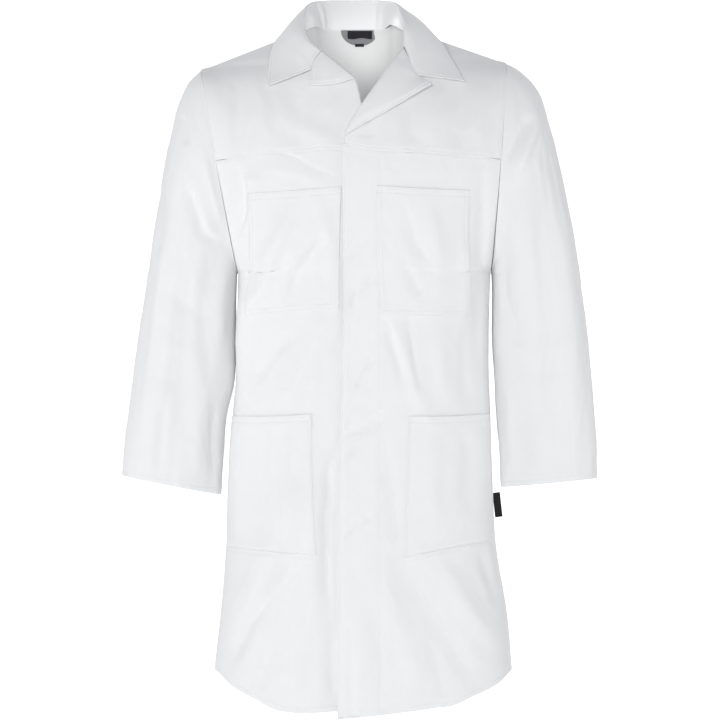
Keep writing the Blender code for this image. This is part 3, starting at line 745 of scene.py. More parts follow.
def front_skin(s, P, th, off=0.0):
    """P on the smooth front moved to where the cloth lies."""
    n = outn(P)
    px, py = elev(P)
    h = drape(px, py) * fade_edges(th) + lap(s, th) + off
    if s > 0:
        h = h + placket_puff(px, py)
        h = h - 0.0005 * np.exp(-((px - 379) / 1.1) ** 2) * (1 + 0.5 * vnoise(py / 9, px * 0, 44)) * (py > 137)
        h = h + 0.0007 * np.exp(-((px - 346) / 3.5) ** 2)
    for line in (((228, 548.6), (250, 551.2), (280, 553.8), (316, 557.0)), ((405, 558.4), (450, 549.2), (491, 541.0))):
        h = h - 0.0016 * np.exp(-(seg_dist(px, py, line)[0] / 1.6) ** 2)
    return P + n * h[..., None], n


pieces = {}
for s in (-1, 1):
    nm = side_name[s]
    us = spaced(0.36, 0.0027, fine0=True)
    ws = spaced(0.86, 0.0029, fine0=True, fine1=True)
    U, W = np.meshgrid(us, ws, indexing="ij")
    if s > 0:  # extra columns at the fly stitching
        f = np.linspace(0.045, 0.070, int(26 / FINE)) / 0.36
        us = np.sort(np.r_[us[(us < f[0]) | (us > f[-1])], f])
        U, W = np.meshgrid(us, ws, indexing="ij")
    P, th = front_smooth(s, U, W)
    Q, _ = front_skin(s, P, th)
    hem_wave = 0.0016 * vnoise(Q[..., 0] / 0.055, Q[..., 0] * 0, 51) * smooth(0.93, 1.0, W)
    Q[..., 1] += hem_wave * 1.5
    Q[..., 2] += hem_wave * 0.5
    o = sheet_obj("front_panel_%s_cloth" % nm, Q, CLOTH_M, CT, sewn={"b": (0.0075,), "t": (0.0022,), "l": (0.0028,)} if s > 0 else {"b": (0.0075,), "t": (0.0022,)},
                  rounded="lb", outward=(0, -1, 0))
    tie_front(o)
    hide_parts("front_panel_" + nm)
    pieces[o.name] = o
    declare(o)
    # facing band behind the front edge
    us = spaced(0.056, 0.004)
    ws = spaced(0.85, 0.006)
    U, W = np.meshgrid(us, ws, indexing="ij")
    P, th = front_smooth(s, U, W, edge=s * 0.0006, wide=0.055, w0=0.002, w1=0.998)
    Q, n = front_skin(s, P, th, off=-0.0016 - 0.0013 * smooth(0.62, 0.8, U))
    o = sheet_obj("front_facing_%s_cloth" % nm, Q, CLOTH_M, 0.0008, rounded="lrtb", outward=(0, 1, 0))
    tie_front(o)
    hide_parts("front_facing_" + nm)
    declare(o)

# ================================================================ yokes
ROLL_L = ((403.5, 47), (391.4, 63), (377, 84), (362, 105), (350, 124), (344.5, 136), (344.5, 143.98))
ROLL_R = ((321, 50), (328, 57), (341, 67), (354.7, 77.7), (360, 96), (364.5, 112), (377, 152.05))


def yoke(s, u, w):
    pts = ROLL_L if s > 0 else ROLL_R
    nu, nsh = NECK[s], SHOULDER[s]
    edge_uv = path([(*p,) for p in pts[::-1]] + [(nu[0] + (-1.0 if s > 0 else 1.5), nu[1] + 5), (nu[0], nu[1] + 0.02)])
    e = edge_uv(w)
    eu, ev = e[..., 0], e[..., 1]
    y = -0.1
    for _ in range(8):
        x0, z0 = xu(eu, y), zv(ev, y)
        y = on_body(x0, z0)[..., 1]
    za = zv(162) + (zv(nsh[1] + 1.2) - zv(162)) * w
    r, l = edges(za)
    x1 = l if s > 0 else r
    x = x0 + (x1 - x0) * u
    Y = YOKE_L if s > 0 else YOKE_R
    zt = z_top(x) - 0.00003
    yy = -0.118 + 0.03 * u
    for _ in range(3):
        zb = line_z(Y, x, yy)
        yy = on_body(x, zb)[..., 1]
    zb0 = line_z(Y, x0, -0.118)
    f0 = (z0 - zb0) / (z_top(x0) - 0.00003 - zb0)
    a = smooth(0, 1, u)
    f = (1 - (1 - w) ** 2) * a + f0 * (1 - a)
    z = zb + (zt - zb) * f
    r, l = edges(z)
    lim = l if s > 0 else r
    x = np.where(s * x > s * lim, lim, x)
    x = x + (lim - x) * smooth(0.9, 1.0, u)
    return on_body(x, z)


for s in (-1, 1):
    nm = side_name[s]
    us = spaced(0.165, 0.0025, fine0=False, fine1=True)
    ws = spaced(0.19, 0.0024, fine0=True, fine1=False)
    U, W = np.meshgrid(us, ws, indexing="ij")
    P = yoke(s, U, W)
    P[..., 1] = np.minimum(P[..., 1], -0.0002)
    m = smooth(zv(122), zv(98), P[..., 2])[..., None]
    P = P * (1 - m) + soften(P, int(160 / FINE ** 2)) * m
    th = theta_of(P[..., 0], P[..., 2])
    n = outn(P)
    px, py = elev(P)
    near_top = smooth(0.0, 0.05, z_top(P[..., 0]) - P[..., 2])
    h = drape(px, py) * near_top * (1 - 0.8 * smooth(0.85, 1.0, U)) + lap(s, th) * smooth(-0.05, -0.15, P[..., 2])
    if s > 0:
        h = h + placket_puff(px, py) * (py > 137)
    # the yoke laps over the panel below along the seam
    h = h + 0.0007 * smooth(0.0, 0.006, 0.02 - W * 0.19 + 0.0) * 0 + 0.0003 * np.exp(-(W * 0.19 / 0.010) ** 2)
    Q = P + n * h[..., None]
    ext = np.clip(0.0022 - W * 0.19, 0, 1) * 0
    o = sheet_obj("front_yoke_%s_cloth" % nm, Q, CLOTH_M, CT, sewn={"t": (0.0026,), "r": (0.0026,)}, rounded="t", outward=(0, -1, 0))
    ride_torso(o)
    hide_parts("front_yoke_" + nm)
    declare(o)

# ================================================================ back
BACK_SEAM_V = 152.0
BACK_HEM = (-0.977, 0.050)
NECK_DROP = 0.034


def back_seam(x):
    return zv(BACK_SEAM_V, 0.118) + 0 * x


def back_panel(u, w):
    th = (2 * u - 1) * (math.pi / 2)
    z = np.full(np.broadcast(u, w).shape, -0.5)
    for _ in range(6):
        x = body(th, z, 1)[..., 0]
        zt = back_seam(x)
        zb = BACK_HEM[0] - BACK_HEM[1] * (1 - np.abs(np.sin(th)) ** 3)
        z = zt + (zb - zt) * w
    return body(th, z, 1), th


BACK_FOLDS = [
    (((300, 160), (302, 300), (296, 460), (288, 690)), 14, 4.0, 0.0),
    (((330, 170), (334, 320), (336, 500), (334, 700)), 10, -3.4, 0.0),
    (((380, 160), (384, 330), (392, 520), (398, 700)), 13, 3.6, 0.0),
    (((420, 180), (416, 330), (424, 500), (440, 690)), 11, -3.4, 0.0),
    (((260, 200), (262, 330), (254, 520), (244, 690)), 11, -3.0, 0.0),
    (((450, 200), (446, 330), (460, 520), (478, 680)), 11, 3.2, 0.0),
    (((243, 290), (290, 350), (330, 380)), 9, -2.4, 0.1),
    (((486, 290), (440, 345), (400, 380)), 9, -2.4, 0.1),
    (((246, 420), (300, 440), (350, 430), (420, 446), (484, 420)), 12, 2.0, 0.1),
]


def back_drape(px, py, k=1.0):
    h = np.zeros(px.shape)
    for pts, w, a, q in BACK_FOLDS:
        h += fold(px, py, pts, w, a, q)
    low = smooth(330, 720, py)
    h += (0.0006 + 0.0024 * low) * vnoise((px + 8 * vnoise(px / 70, py / 120, 61)) / 36, py / 260, 62)
    return h * k + crumple(px + 300, py + 100)


us = spaced(0.56, 0.0036, fine0=False, fine1=False)
ws = spaced(0.86, 0.0038, fine0=True, fine1=True)
U, W = np.meshgrid(us, ws, indexing="ij")
P, th = back_panel(U, W)
px, py = MID_U + P[..., 0] / UNIT, MID_V - (P[..., 2] - Z_MID) / UNIT
Q = P + outn(P, 1) * (back_drape(px, py) * fade_edges(th))[..., None]
o = sheet_obj("back_panel_cloth", Q, CLOTH_M, CT, sewn={"b": (0.0075,), "t": (0.0022,)}, rounded="b", outward=(0, 1, 0))
ride_torso(o)
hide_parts("back_panel")
declare(o)


def neck_line(x):
    a, b = xu(NECK[-1][0]), xu(NECK[1][0])
    n = np.clip((x - (a + b) / 2) / ((b - a) / 2), -1, 1)
    flat = zv(31.5, 0.07) + 0 * x
    top = z_top(x) - 0.00003
    tuck = 0.008 * np.exp(-((np.abs(n) - 0.84) / 0.13) ** 2)      # hidden behind the stand
    return np.minimum(top, flat * (1 - np.abs(n) ** 10) + top * np.abs(n) ** 10 + tuck)


def back_yoke(u, w):
    z = np.full(np.broadcast(u, w).shape, -0.1)
    for _ in range(8):
        r, l = edges(z)
        x = r + (l - r) * u
        zt = neck_line(x)
        zb = back_seam(x)
        z = zb + (zt - zb) * (1 - (1 - w) ** 2)
    return on_body(x, z, 1)


us = spaced(0.48, 0.003, fine0=True, fine1=True)
ws = spaced(0.24, 0.003, fine0=True, fine1=False)
U, W = np.meshgrid(us, ws, indexing="ij")
P = back_yoke(U, W)
P[..., 1] = np.maximum(P[..., 1], 0.0002)
m = smooth(zv(122), zv(98), P[..., 2])[..., None]
P = P * (1 - m) + soften(P, int(110 / FINE ** 2)) * m
px, py = MID_U + P[..., 0] / UNIT, MID_V - (P[..., 2] - Z_MID) / UNIT
near_top = smooth(0.0, 0.05, neck_line(P[..., 0]) - P[..., 2])
h = back_drape(px, py, 0.6) * near_top * (1 - 0.8 * smooth(0.9, 1.0, np.abs(2 * U - 1))) + 0.0008 * np.exp(-(W * 0.24 / 0.010) ** 2)
Q = P + outn(P, 1) * h[..., None]
o = sheet_obj("back_yoke_cloth", Q, CLOTH_M, CT, sewn={"t": (0.0026,), "l": (0.0026,), "r": (0.0026,)}, rounded="tb", outward=(0, 1, 0))
ride_torso(o)
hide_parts("back_yoke")
declare(o)

# ================================================================ sleeves
OUTER = {-1: ((201, 71), (190, 82), (183, 95), (177, 110), (173, 127), (168.7, 148), (158.4, 207), (148, 280), (139.3, 339), (132, 397), (126, 441), (123.2, 475)),
         1: ((506, 64), (516, 69), (529, 80), (540, 96), (544.5, 110), (555, 149), (567, 209), (577.5, 266), (585, 320), (591, 380), (595.5, 440), (596.4, 477.5))}
INNER = {-1: ((237.6, 273), (236.8, 300), (236.6, 339), (234, 385.6), (227.3, 412), (223, 456), (220.9, 494)),
         1: ((491.2, 273), (491.6, 300), (491.4, 340), (493.6, 368), (497.5, 425), (500.4, 486.5))}
SLEEVE_DEPTH_F = curve(((0, 0.078), (0.3, 0.073), (0.6, 0.062), (0.85, 0.048), (1, 0.040)))
SLEEVE_DEPTH_B = curve(((0, 0.084), (0.3, 0.076), (0.6, 0.062), (0.85, 0.048), (1, 0.040)))
SLEEVE_Y = curve(((0, 0.0), (0.5, 0.0), (1, -0.016)))
ELBOW = 0.62
FOLDS_SLEEVE = {
    -1: [
        (((192, 118), (184, 150), (176, 200), (168, 260), (160, 330), (150, 400), (146, 460)), 10, 3.4, 0.1),
        (((182, 112), (186, 130), (189, 148)), 4.5, -2.6, 0.2),
        (((190, 186), (197, 214), (206, 234), (222, 242)), 6, -4.0, 0.3),
        (((206, 152), (212, 176), (218, 200), (226, 226)), 6, 2.8, 0.2),
        (((216, 250), (206, 290), (204, 330), (210, 380)), 8, -3.0, 0.0),
        (((228, 262), (222, 300), (222, 350)), 7, 2.4, 0.0),
        (((188, 262), (186, 320), (182, 390), (180, 450)), 11, -3.2, 0.0),
        (((170, 290), (196, 312), (226, 322)), 7, -1.1, 0.2),
        (((160, 340), (190, 352), (222, 350)), 8, 0.9, 0.1),
        (((150, 372), (176, 382), (206, 384)), 6, -0.9, 0.1),
        (((205, 395), (200, 430), (200, 478)), 8, 2.4, 0.0),
        (((163, 400), (160, 440), (158, 474)), 6, -2.0, 0.0),
        (((215, 408), (212, 440), (214, 476)), 4.5, -1.6, 0.0),
        (((160, 180), (164, 220), (158, 262)), 6, -1.8, 0.0),
        (((203, 84), (196, 108), (196, 134)), 5, -1.6, 0.0),
    ],
    1: [
        (((533, 98), (534, 127), (527, 147), (516, 178)), 6.5, 3.6, 0.2),
        (((531, 110), (524, 130), (513, 150), (500, 172)), 5, -3.4, -0.2),
        (((544.5, 190), (544.5, 260), (547.5, 335), (540, 412)), 9, -4.2, 0.1),
        (((562, 180), (566, 260), (572, 340), (576, 430)), 9, 3.0, 0.0),
        (((520, 200), (518, 260), (516, 320)), 10, 3.2, 0.0),
        (((505, 250), (508, 300), (520, 340)), 6, -2.6, 0.0),
        (((498, 268), (498, 320), (500, 356)), 5, 1.8, 0.0),
        (((510, 355), (540, 372), (572, 368)), 7, -0.8, 0.1),
        (((504, 340), (536, 350), (576, 338)), 8, 0.8, 0.1),
        (((524, 390), (522, 430), (524, 478)), 8, -2.4, 0.0),
        (((508, 400), (510, 440), (514, 480)), 6, 2.0, 0.0),
        (((556, 400), (560, 440), (562, 478)), 7, -1.8, 0.0),
        (((545, 150), (556, 200), (560, 240)), 5, -1.6, 0.0),
        (((512, 80), (520, 104), (520, 134)), 5, -1.6, 0.0),
    ],
}


def sleeve_lines(s):
    o, i = path(OUTER[s]), path(INNER[s])

    def f(t):
        ti = 0.1 * t + 0.9 * np.clip((t - 0.35) / 0.65, 0, 1) ** 1.5
        a, b = o(t), i(ti)
        return (np.stack([xu(a[..., 0]), 0 * t, zv(a[..., 1])], -1), np.stack([xu(b[..., 0]), 0 * t, zv(b[..., 1])], -1))
    return f


def sleeve(s, phi, t, shrink=0.0):
    oo, ii = sleeve_lines(s)(t)
    c, a = (oo + ii) / 2, (oo - ii) / 2
    la = np.linalg.norm(a, axis=-1, keepdims=True)
    a = a * (1 - shrink / la)
    b = np.where(np.sin(phi) < 0, SLEEVE_DEPTH_F(t), SLEEVE_DEPTH_B(t)) - shrink
    p = c + a * np.cos(phi)[..., None]
    p[..., 1] += SLEEVE_Y(t) + b * np.sin(phi)
    return p


def sleeve_h(s, P, phi, t):
    px, py = elev(P)
    front = smooth(0.25, -0.25, np.sin(phi))
    h = np.zeros(px.shape)
    for pts, w, a, q in FOLDS_SLEEVE[s]:
        h += 1.55 * fold(px, py, pts, w, a, q)
    hb = np.zeros(px.shape)
    for k, (pts, w, a, q) in enumerate(FOLDS_SLEEVE[-s]):
        m = [(2 * MID_U - p[0] + 1.5 * math.sin(k), p[1] + 8 * math.cos(3 * k)) for p in pts]
        hb += fold(px, py, m, w * 1.2, a * 0.8, -q)
    h = h * front + hb * (1 - front)
    ang = phi / (2 * math.pi)
    h += 0.0012 * vnoise(6 + 5 * np.cos(phi) + 2 * np.sin(phi), t * 4 + 3 * np.sin(phi), 71 + s) * smooth(0.05, 0.25, t)
    h += crumple(px + 60 * np.sin(phi) + 500, py + 40 * np.cos(phi))
    # the side that lies against the body stays flat
    inner = smooth(-0.55, -0.95, np.cos(phi)) * smooth(0.85, 0.6, t)
    h = h * (1 - 0.85 * inner) - 0.0012 * inner
    return h * smooth(0.0, 0.07, t)


ARM_BLEND = {-1: ((0.295, ), ), 1: ()}


def arm_blend(s):
    """Two points on a line down the arm: the first just past the whole armhole seam, the second just above the elbow.
    """
    d = np.array([s * 0.95, 0.0, -0.31])
    d /= np.linalg.norm(d)
    pit = np.array([xu(INNER[s][0][0]), 0, zv(INNER[s][0][1])])
    top = np.array([xu(SHOULDER[s][0]), 0, zv(SHOULDER[s][1])])
    start = max(pit @ d, top @ d) + 0.001
    end = sleeve(s, np.array([math.pi]), np.array([ELBOW]))[0] @ d - 0.001
    a = np.array([s * 0.25, 0, -0.25])
    return tuple(a + d * (start - a @ d)), tuple(a + d * (end - a @ d))


def sleeve_ring_axis(s):
    oo, ii = sleeve_lines(s)(np.array([ELBOW]))
    e = (oo - ii)[0]
    e /= np.linalg.norm(e)
    c = (oo + ii)[0] / 2
    down = np.cross(e, [0, 1, 0])
    if down[2] > 0:
        down = -down
    return c, down


for s in (-1, 1):
    nm = side_name[s]
    nphi = int(210 / FINE)
    phi = np.linspace(0, 2 * math.pi, nphi, endpoint=False) + math.pi / 2
    tu = ELBOW * spaced(0.60 * ELBOW, 0.0030, fine0=True)
    tl = ELBOW + (1 - ELBOW) * spaced(0.60 * (1 - ELBOW), 0.0030, fine1=True)
    tall = np.r_[tu, tl[1:]]
    PH, T = np.meshgrid(phi, tall, indexing="ij")
    P = sleeve(s, PH, T)
    n = normals(P, wrap=True)
    if np.mean(np.sum(n * (P - P.mean(0, keepdims=True)), -1)) < 0:
        n = -n
    Q = P + n * sleeve_h(s, P, PH, T)[..., None]
    n = normals(Q, wrap=True)
    if np.mean(np.sum(n * (Q - Q.mean(0, keepdims=True)), -1)) < 0:
        n = -n
    NA = normals(Q + n * CT / 2, wrap=True)
    NB = normals(Q - n * CT / 2, wrap=True)
    NA = NA if np.mean(np.sum(NA * n, -1)) > 0 else -NA
    NB = NB if np.mean(np.sum(NB * n, -1)) < 0 else -NB
    cut = len(tu) - 1
    for part, body_a, body_b in (("upper", "torso", "arm_" + nm), ("lower", "arm_" + nm, "forearm_" + nm)):
        sl = slice(0, cut + 1) if part == "upper" else slice(cut, None)
        o = sheet_obj(f"sleeve_{part}_{nm}_cloth", Q[:, sl], CLOTH_M, CT, sewn={"t": (0.0022,)} if part == "upper" else {"b": (0.0080,)},
                      rounded="t" if part == "upper" else "b", wrap=True, nrm=n[:, sl],
                      end_n=("b" if part == "upper" else "t", NA[:, cut], NB[:, cut]))
        if part == "upper":
            a, b = arm_blend(s)
            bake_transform(o)
            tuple(a)
            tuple(b)
        else:
            c0, down = sleeve_ring_axis(s)
            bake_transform(o)
        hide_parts(f"sleeve_{part}_{nm}")
        SURF[o.name]["flat"] = (SURF[o.name]["flat"][0] * 1.01, SURF[o.name]["flat"][1], SURF[o.name]["flat"][2])
        declare(o)
    # the turned-up hem inside the cuff
    ts = spaced(0.008, 0.002)
    T1 = 1.0 - 0.0080 / 0.60
    PH, T = np.meshgrid(phi, T1 - 0.012 + (1.0 - 0.0016 / 0.6 - T1 + 0.012) * ts, indexing="ij")
    P = sleeve(s, PH, T)
    n = normals(P, wrap=True)
    if np.mean(np.sum(n * (P - P.mean(0, keepdims=True)), -1)) < 0:
        n = -n
    Q = P + n * (sleeve_h(s, P, PH, T) - 0.0018)[..., None]
    o = sheet_obj(f"cuff_hem_{nm}_cloth", Q, CLOTH_M, 0.0009, rounded="tb", wrap=True, outward=lambda P: P.mean(0, keepdims=True) - P)
    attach(o, "forearm_" + nm)
    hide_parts("cuff_hem_" + nm)
    declare(o)


# ================================================================ collar
def P3(u, v, y):
    return np.array([xu(u, y), y, zv(v, y)])


def back_pt(x, z, off=0.0):
    p = on_body(np.array(x), np.array(z), 1)
    return p + np.array([0, off, 0])


def neck_back(u):
    x = xu(u, 0.05)
    return back_pt(x, float(neck_line(x)))


NECK_SEAM = path([front_at(321, 50), front_at(312, 42), front_at(304.5, 36), P3(303, 30.5, 0.0), neck_back(304.3), neck_back(306.8), neck_back(311), neck_back(328), neck_back(353),
                  neck_back(379), neck_back(396), neck_back(400.8), neck_back(403.6), P3(405, 28.5, 0.0), front_at(404, 34), front_at(403.5, 47)])
FOLD = path([front_at(321, 51, 0.004), front_at(310.6, 43, 0.012), P3(305.2, 31, -0.042), P3(305.8, 14, -0.014), P3(311, 3.8, 0.020), P3(326, 1.6, 0.050), P3(353, 1.3, 0.064),
             P3(381, 1.6, 0.050), P3(395, 3.8, 0.020), P3(400.6, 14, -0.014), P3(404.8, 29, -0.042), front_at(404.2, 47, 0.004)])
LEAF_EDGE = path([front_at(267.5, 87, 0.0035), front_at(269.6, 66, 0.0035), front_at(273, 48.5, 0.005), P3(277, 40.5, 0.0), back_pt(xu(284, .05), zv(50, .05), 0.006), back_pt(xu(310, .08), zv(58, .08), 0.005), back_pt(xu(353, .08), zv(60, .08), 0.005),
                  back_pt(xu(396, .08), zv(58, .08), 0.005), back_pt(xu(426, .05), zv(49, .05), 0.006), P3(437, 37.5, 0.0), front_at(444, 49, 0.005), front_at(453.5, 63, 0.0035), front_at(464.7, 81.4, 0.0035)])
GORGE = {-1: ((321, 51), (314.5, 60), (311, 69.6), (267.2, 87.2)), 1: ((404.5, 47), (410.8, 61.5), (417.5, 75.6), (464.8, 81.8))}
N_AT = 0.40             # where along the leaf's short front edge the notch sits


def front_edge(s, w):
    """The leaf's front edge: along the seam to the notch, then straight to the point."""
    g = GORGE[s]
    seam, free = path(g[:3]), path(g[2:])
    a = seam(np.clip(w / N_AT, 0, 1))
    b = free(np.clip((w - N_AT) / (1 - N_AT), 0, 1))
    q = np.where((w < N_AT)[..., None], a, b)
    return q




def clear_body(P, off):
    P = P.copy()
    x, z = P[..., 0], P[..., 2]
    ok = z < z_top(x) - 0.0005
    yf = on_body(x, z, -1)[..., 1] - off
    yb = on_body(x, z, 1)[..., 1] + off
    front = P[..., 1] < 0.004
    P[..., 1] = np.where(ok & front, np.minimum(P[..., 1], yf), np.where(ok & ~front, np.maximum(P[..., 1], yb), P[..., 1]))
    over = ~ok & (z < z_top(x) + off) & (np.abs(P[..., 1]) < 0.03)
    P[..., 2] = np.where(over, z_top(x) + off, z)
    return P


def a0_b0(s, w):
    k = np.array([0.0 if s < 0 else 1.0])
    a, b = FOLD(k)[0], LEAF_EDGE(k)[0]
    out_dir = (a - np.array([xu(354), 0.0, 0.0])) * [1, 1, 0]
    out_dir /= max(np.linalg.norm(out_dir), 1e-9)
    return a * (1 - w[..., None]) + b * w[..., None] + (out_dir * 0.007 + np.array([0, 0, 0.003])) * (np.sin(math.pi * w ** 0.7) ** 0.8)[..., None] + out_dir * 0.0014


def leaf(u, w):
    a, b = FOLD(u), LEAF_EDGE(u)
    out_dir = (a - np.array([xu(354), 0.0, 0.0])) * [1, 1, 0]
    out_dir /= np.maximum(np.linalg.norm(out_dir, axis=-1, keepdims=True), 1e-9)
    p = a * (1 - w[..., None]) + b * w[..., None]
    p += (out_dir * 0.007 + np.array([0, 0, 0.003])) * (np.sin(math.pi * w ** 0.7) ** 0.8)[..., None]
    p += out_dir * 0.0014
    for s in (-1, 1):
        g = GORGE[s]
        q = front_edge(s, w)
        e = front_at(q[..., 0], q[..., 1]) + np.array([0, -1, 0]) * (0.0044 + 0.0010 * smooth(N_AT, 1, w))[..., None]
        uu = u if s < 0 else 1 - u
        fade = (1 - smooth(0.0, 0.17, uu))[..., None]
        p0 = a0_b0(s, w)
        p += (e - p0) * fade
    return clear_body(p, 0.0032)


us = spaced(0.60, 0.0024, fine0=True, fine1=True)
ws = spaced(0.085, 0.0022, fine0=False, fine1=True)
U, W = np.meshgrid(us, ws, indexing="ij")
P = leaf(U, W)
# the leaf turns over the shoulder in one even bend
m = (smooth(0.06, 0.16, U) * smooth(0.94, 0.84, U))[1:-1, :, None]
for _ in range(int(140 / FINE ** 2)):
    Pn = P[1:-1] * 0.5 + 0.25 * (P[2:] + P[:-2])
    P[1:-1] = P[1:-1] * (1 - m) + Pn * m
n = normals(P)
ref = P - np.array([xu(354), 0.01, -0.06])
if np.mean(np.sum(n * ref, -1)) < 0:
    n = -n
px, py = elev(P)
wav = 0.0006 * vnoise(U * 14, W * 2.2, 81) + 0.0005 * vnoise(U * 30, W * 3, 82) + 0.5 * crumple(px + 900, py)
Q = P + n * (wav * smooth(0.0, 0.3, W) + 0.0004)[..., None]
o = sheet_obj("collar_leaf_cloth", Q, CLOTH_M, 0.0015, sewn={"b": (0.0050,), "l": (0.0050,), "r": (0.0050,)}, rounded="lrb", outward=lambda P: P - np.array([xu(354), 0.01, -0.06]))
ride_torso(o)
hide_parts("collar_leaf")
declare(o)


def stand(u, w):
    """The stand's inner face, joined to the leaf by the soft fold at its top."""
    a, b = NECK_SEAM(u), FOLD(u)
    p = a * (1 - w[..., None]) + b * w[..., None]
    inw = (np.array([xu(354), 0.0, 0.0]) - b) * [1, 1, 0]
    inw /= np.maximum(np.linalg.norm(inw, axis=-1, keepdims=True), 1e-9)
    return p + inw * (0.0015 * np.sin(math.pi * w))[..., None]


us = spaced(0.45, 0.0024)
ws = spaced(0.048, 0.0016, fine0=True)
U, W = np.meshgrid(us, ws, indexing="ij")
low = 0.06 + 0.14 * (np.exp(-((U - 0.17) / 0.07) ** 2) + np.exp(-((U - 0.83) / 0.07) ** 2))
P = stand(U, -low + (1 + low) * W)
n = normals(P)
ref = np.array([xu(354), 0.0, 0.0]) - P
if np.mean(np.sum(n * ref, -1)) < 0:
    n = -n
# soft upright creases where the band turns forward
cre = 0.0018 * np.exp(-((U - 0.385) / 0.012) ** 2) - 0.0016 * np.exp(-((U - 0.36) / 0.012) ** 2) - 0.0015 * np.exp(-((U - 0.615) / 0.012) ** 2) + 0.0015 * np.exp(-((U - 0.64) / 0.012) ** 2)
h = (cre + 0.0006 * vnoise(U * 18, W * 1.5, 83)) * np.sin(math.pi * W) ** 0.7
Q = P + n * h[..., None]
o = sheet_obj("collar_stand_cloth", Q, CLOTH_M, 0.0012, sewn={"t": (0.0024,)}, rounded="t", outward=lambda P: np.array([xu(354), 0.0, 0.0]) - P)
ride_torso(o)
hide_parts("collar_stand")
declare(o)

# the rolled fold that closes the top between stand and leaf
us = spaced(0.45, 0.0024)
F0 = FOLD(us)
A0 = leaf(us, np.full(us.shape, 0.035))
B0 = stand(us, np.full(us.shape, 0.96))
ang = np.linspace(0, 1, 9)
roll = []
for k in ang:
    m = (1 - k) * A0 + k * B0
    up = np.array([0, 0, 1.0]) * 0.0016 * math.sin(math.pi * k)
    outd = (F0 - (A0 + B0) / 2)
    roll.append(m + outd * math.sin(math.pi * k) * 0.8 + up)
R = np.stack(roll, 1)
o = sheet_obj("collar_roll_cloth", R, CLOTH_M, 0.0011, rounded="", outward=lambda P: P - np.array([xu(354), 0.0, -0.05]))
ride_torso(o)
PENDING["collar_leaf_cloth"][3].append(o)

# ================================================================ lapels
LAPEL = {  # roll line, seam to the notch and corner, short outer edge, long lower edge (all from the roll or notch end)
    1: dict(roll=((404.0, 48.5), (391.4, 63), (377, 84), (362, 105), (350, 124), (344.4, 136)),
            seam=((404.0, 48.5), (410.8, 61.5), (417.2, 75.2)),
            short=((417.2, 75.2), (431.8, 84.6)),
            lower=((344.4, 136), (362, 125), (382.6, 113.8), (414.9, 94.3), (431.8, 84.6))),
    -1: dict(roll=((321.2, 51.5), (328, 56.6), (341, 66.8), (354.7, 77.7)),
             seam=((321.2, 51.5), (314.5, 60), (310.9, 69.6)),
             short=((310.9, 69.6), (308.6, 86.1)),
             lower=((354.7, 77.7), (342, 82.6), (328, 84.9), (308.6, 86.1))),
}


def lapel(s, u, w):
    L = LAPEL[s]
    c0, d0, c1, d1 = (path(L[k]) for k in ("roll", "seam", "short", "lower"))
    U_, W_ = u[..., None], w[..., None]
    A_, B_, N_, C_ = c0(0.0 * u), c0(1 + 0.0 * u), c1(0.0 * u), c1(1 + 0.0 * u)
    q = (1 - W_) * c0(u) + W_ * c1(u) + (1 - U_) * d0(w) + U_ * d1(w) - ((1 - U_) * (1 - W_) * A_ + U_ * (1 - W_) * B_ + (1 - U_) * W_ * N_ + U_ * W_ * C_)
    p = front_at(q[..., 0], q[..., 1])
    th = theta_of(p[..., 0], p[..., 2])
    belly = np.sin(math.pi * np.clip(w, 0, 1) ** 0.7) * smooth(0.0, 0.2, u) * (1 - 0.7 * smooth(0.8, 1, u))
    lift = 0.0028 + 0.0030 * belly * (1 if s > 0 else 0.5) + (0.0075 if s > 0 else 0.0018) * smooth(0.55, 1.0, w) * smooth(0.1, 0.9, u) * (1 - 0.2 * smooth(0.9, 1, w))
    near = 1 - smooth(0.0, 0.16, u)
    lift = lift * (1 - near) + 0.0032 * near
    off = (lap(s, th) * smooth(-0.05, -0.15, p[..., 2])) + lift
    return p + np.array([0, -1, 0]) * off[..., None]


for s in (-1, 1):
    nm = side_name[s]
    us = spaced(0.165 if s > 0 else 0.065, 0.0022, fine0=False, fine1=True)
    ws = spaced(0.155 if s > 0 else 0.060, 0.0021, fine1=True)
    U, W = np.meshgrid(us, ws, indexing="ij")
    P = lapel(s, U, W)
    px, py = elev(P)
    Q = P + outn(P) * (0.4 * crumple(px + 700, py + 300) + 0.0005 * vnoise(px / 22, py / 26, 91))[..., None]
    o = sheet_obj(f"lapel_{nm}_cloth", Q, CLOTH_M, 0.0014, sewn={"b": (0.0050,), "r": (0.0050,)}, rounded="rb", outward=(0, -1, 0))
    ride_torso(o)
    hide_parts(f"lapel_{nm}")
    declare(o)
    # the turn of the cloth from the front into the lapel
    us = np.linspace(0, 1, 120)
    R0 = lapel(s, us, np.full(us.shape, 0.02))
    base = front_at(*[path(LAPEL[s]["roll"])(us)[..., k] for k in (0, 1)])
    thb = theta_of(base[..., 0], base[..., 2])
    base = base + np.array([0, -1, 0]) * (lap(s, thb) * smooth(-0.05, -0.15, base[..., 2]) - 0.0004)[..., None]
    mid_dir = np.array([-s * 0.0016, 0, 0.0006])
    R = np.stack([R0 * (1 - k) + base * k + mid_dir * math.sin(math.pi * k) for k in np.linspace(0, 1, 8)], 1)
    o2 = sheet_obj(f"lapel_roll_{nm}_cloth", R, CLOTH_M, 0.0011, rounded="", outward=(-s, -0.3, 0))
    ride_torso(o2)
    PENDING[o.name][3].append(o2)

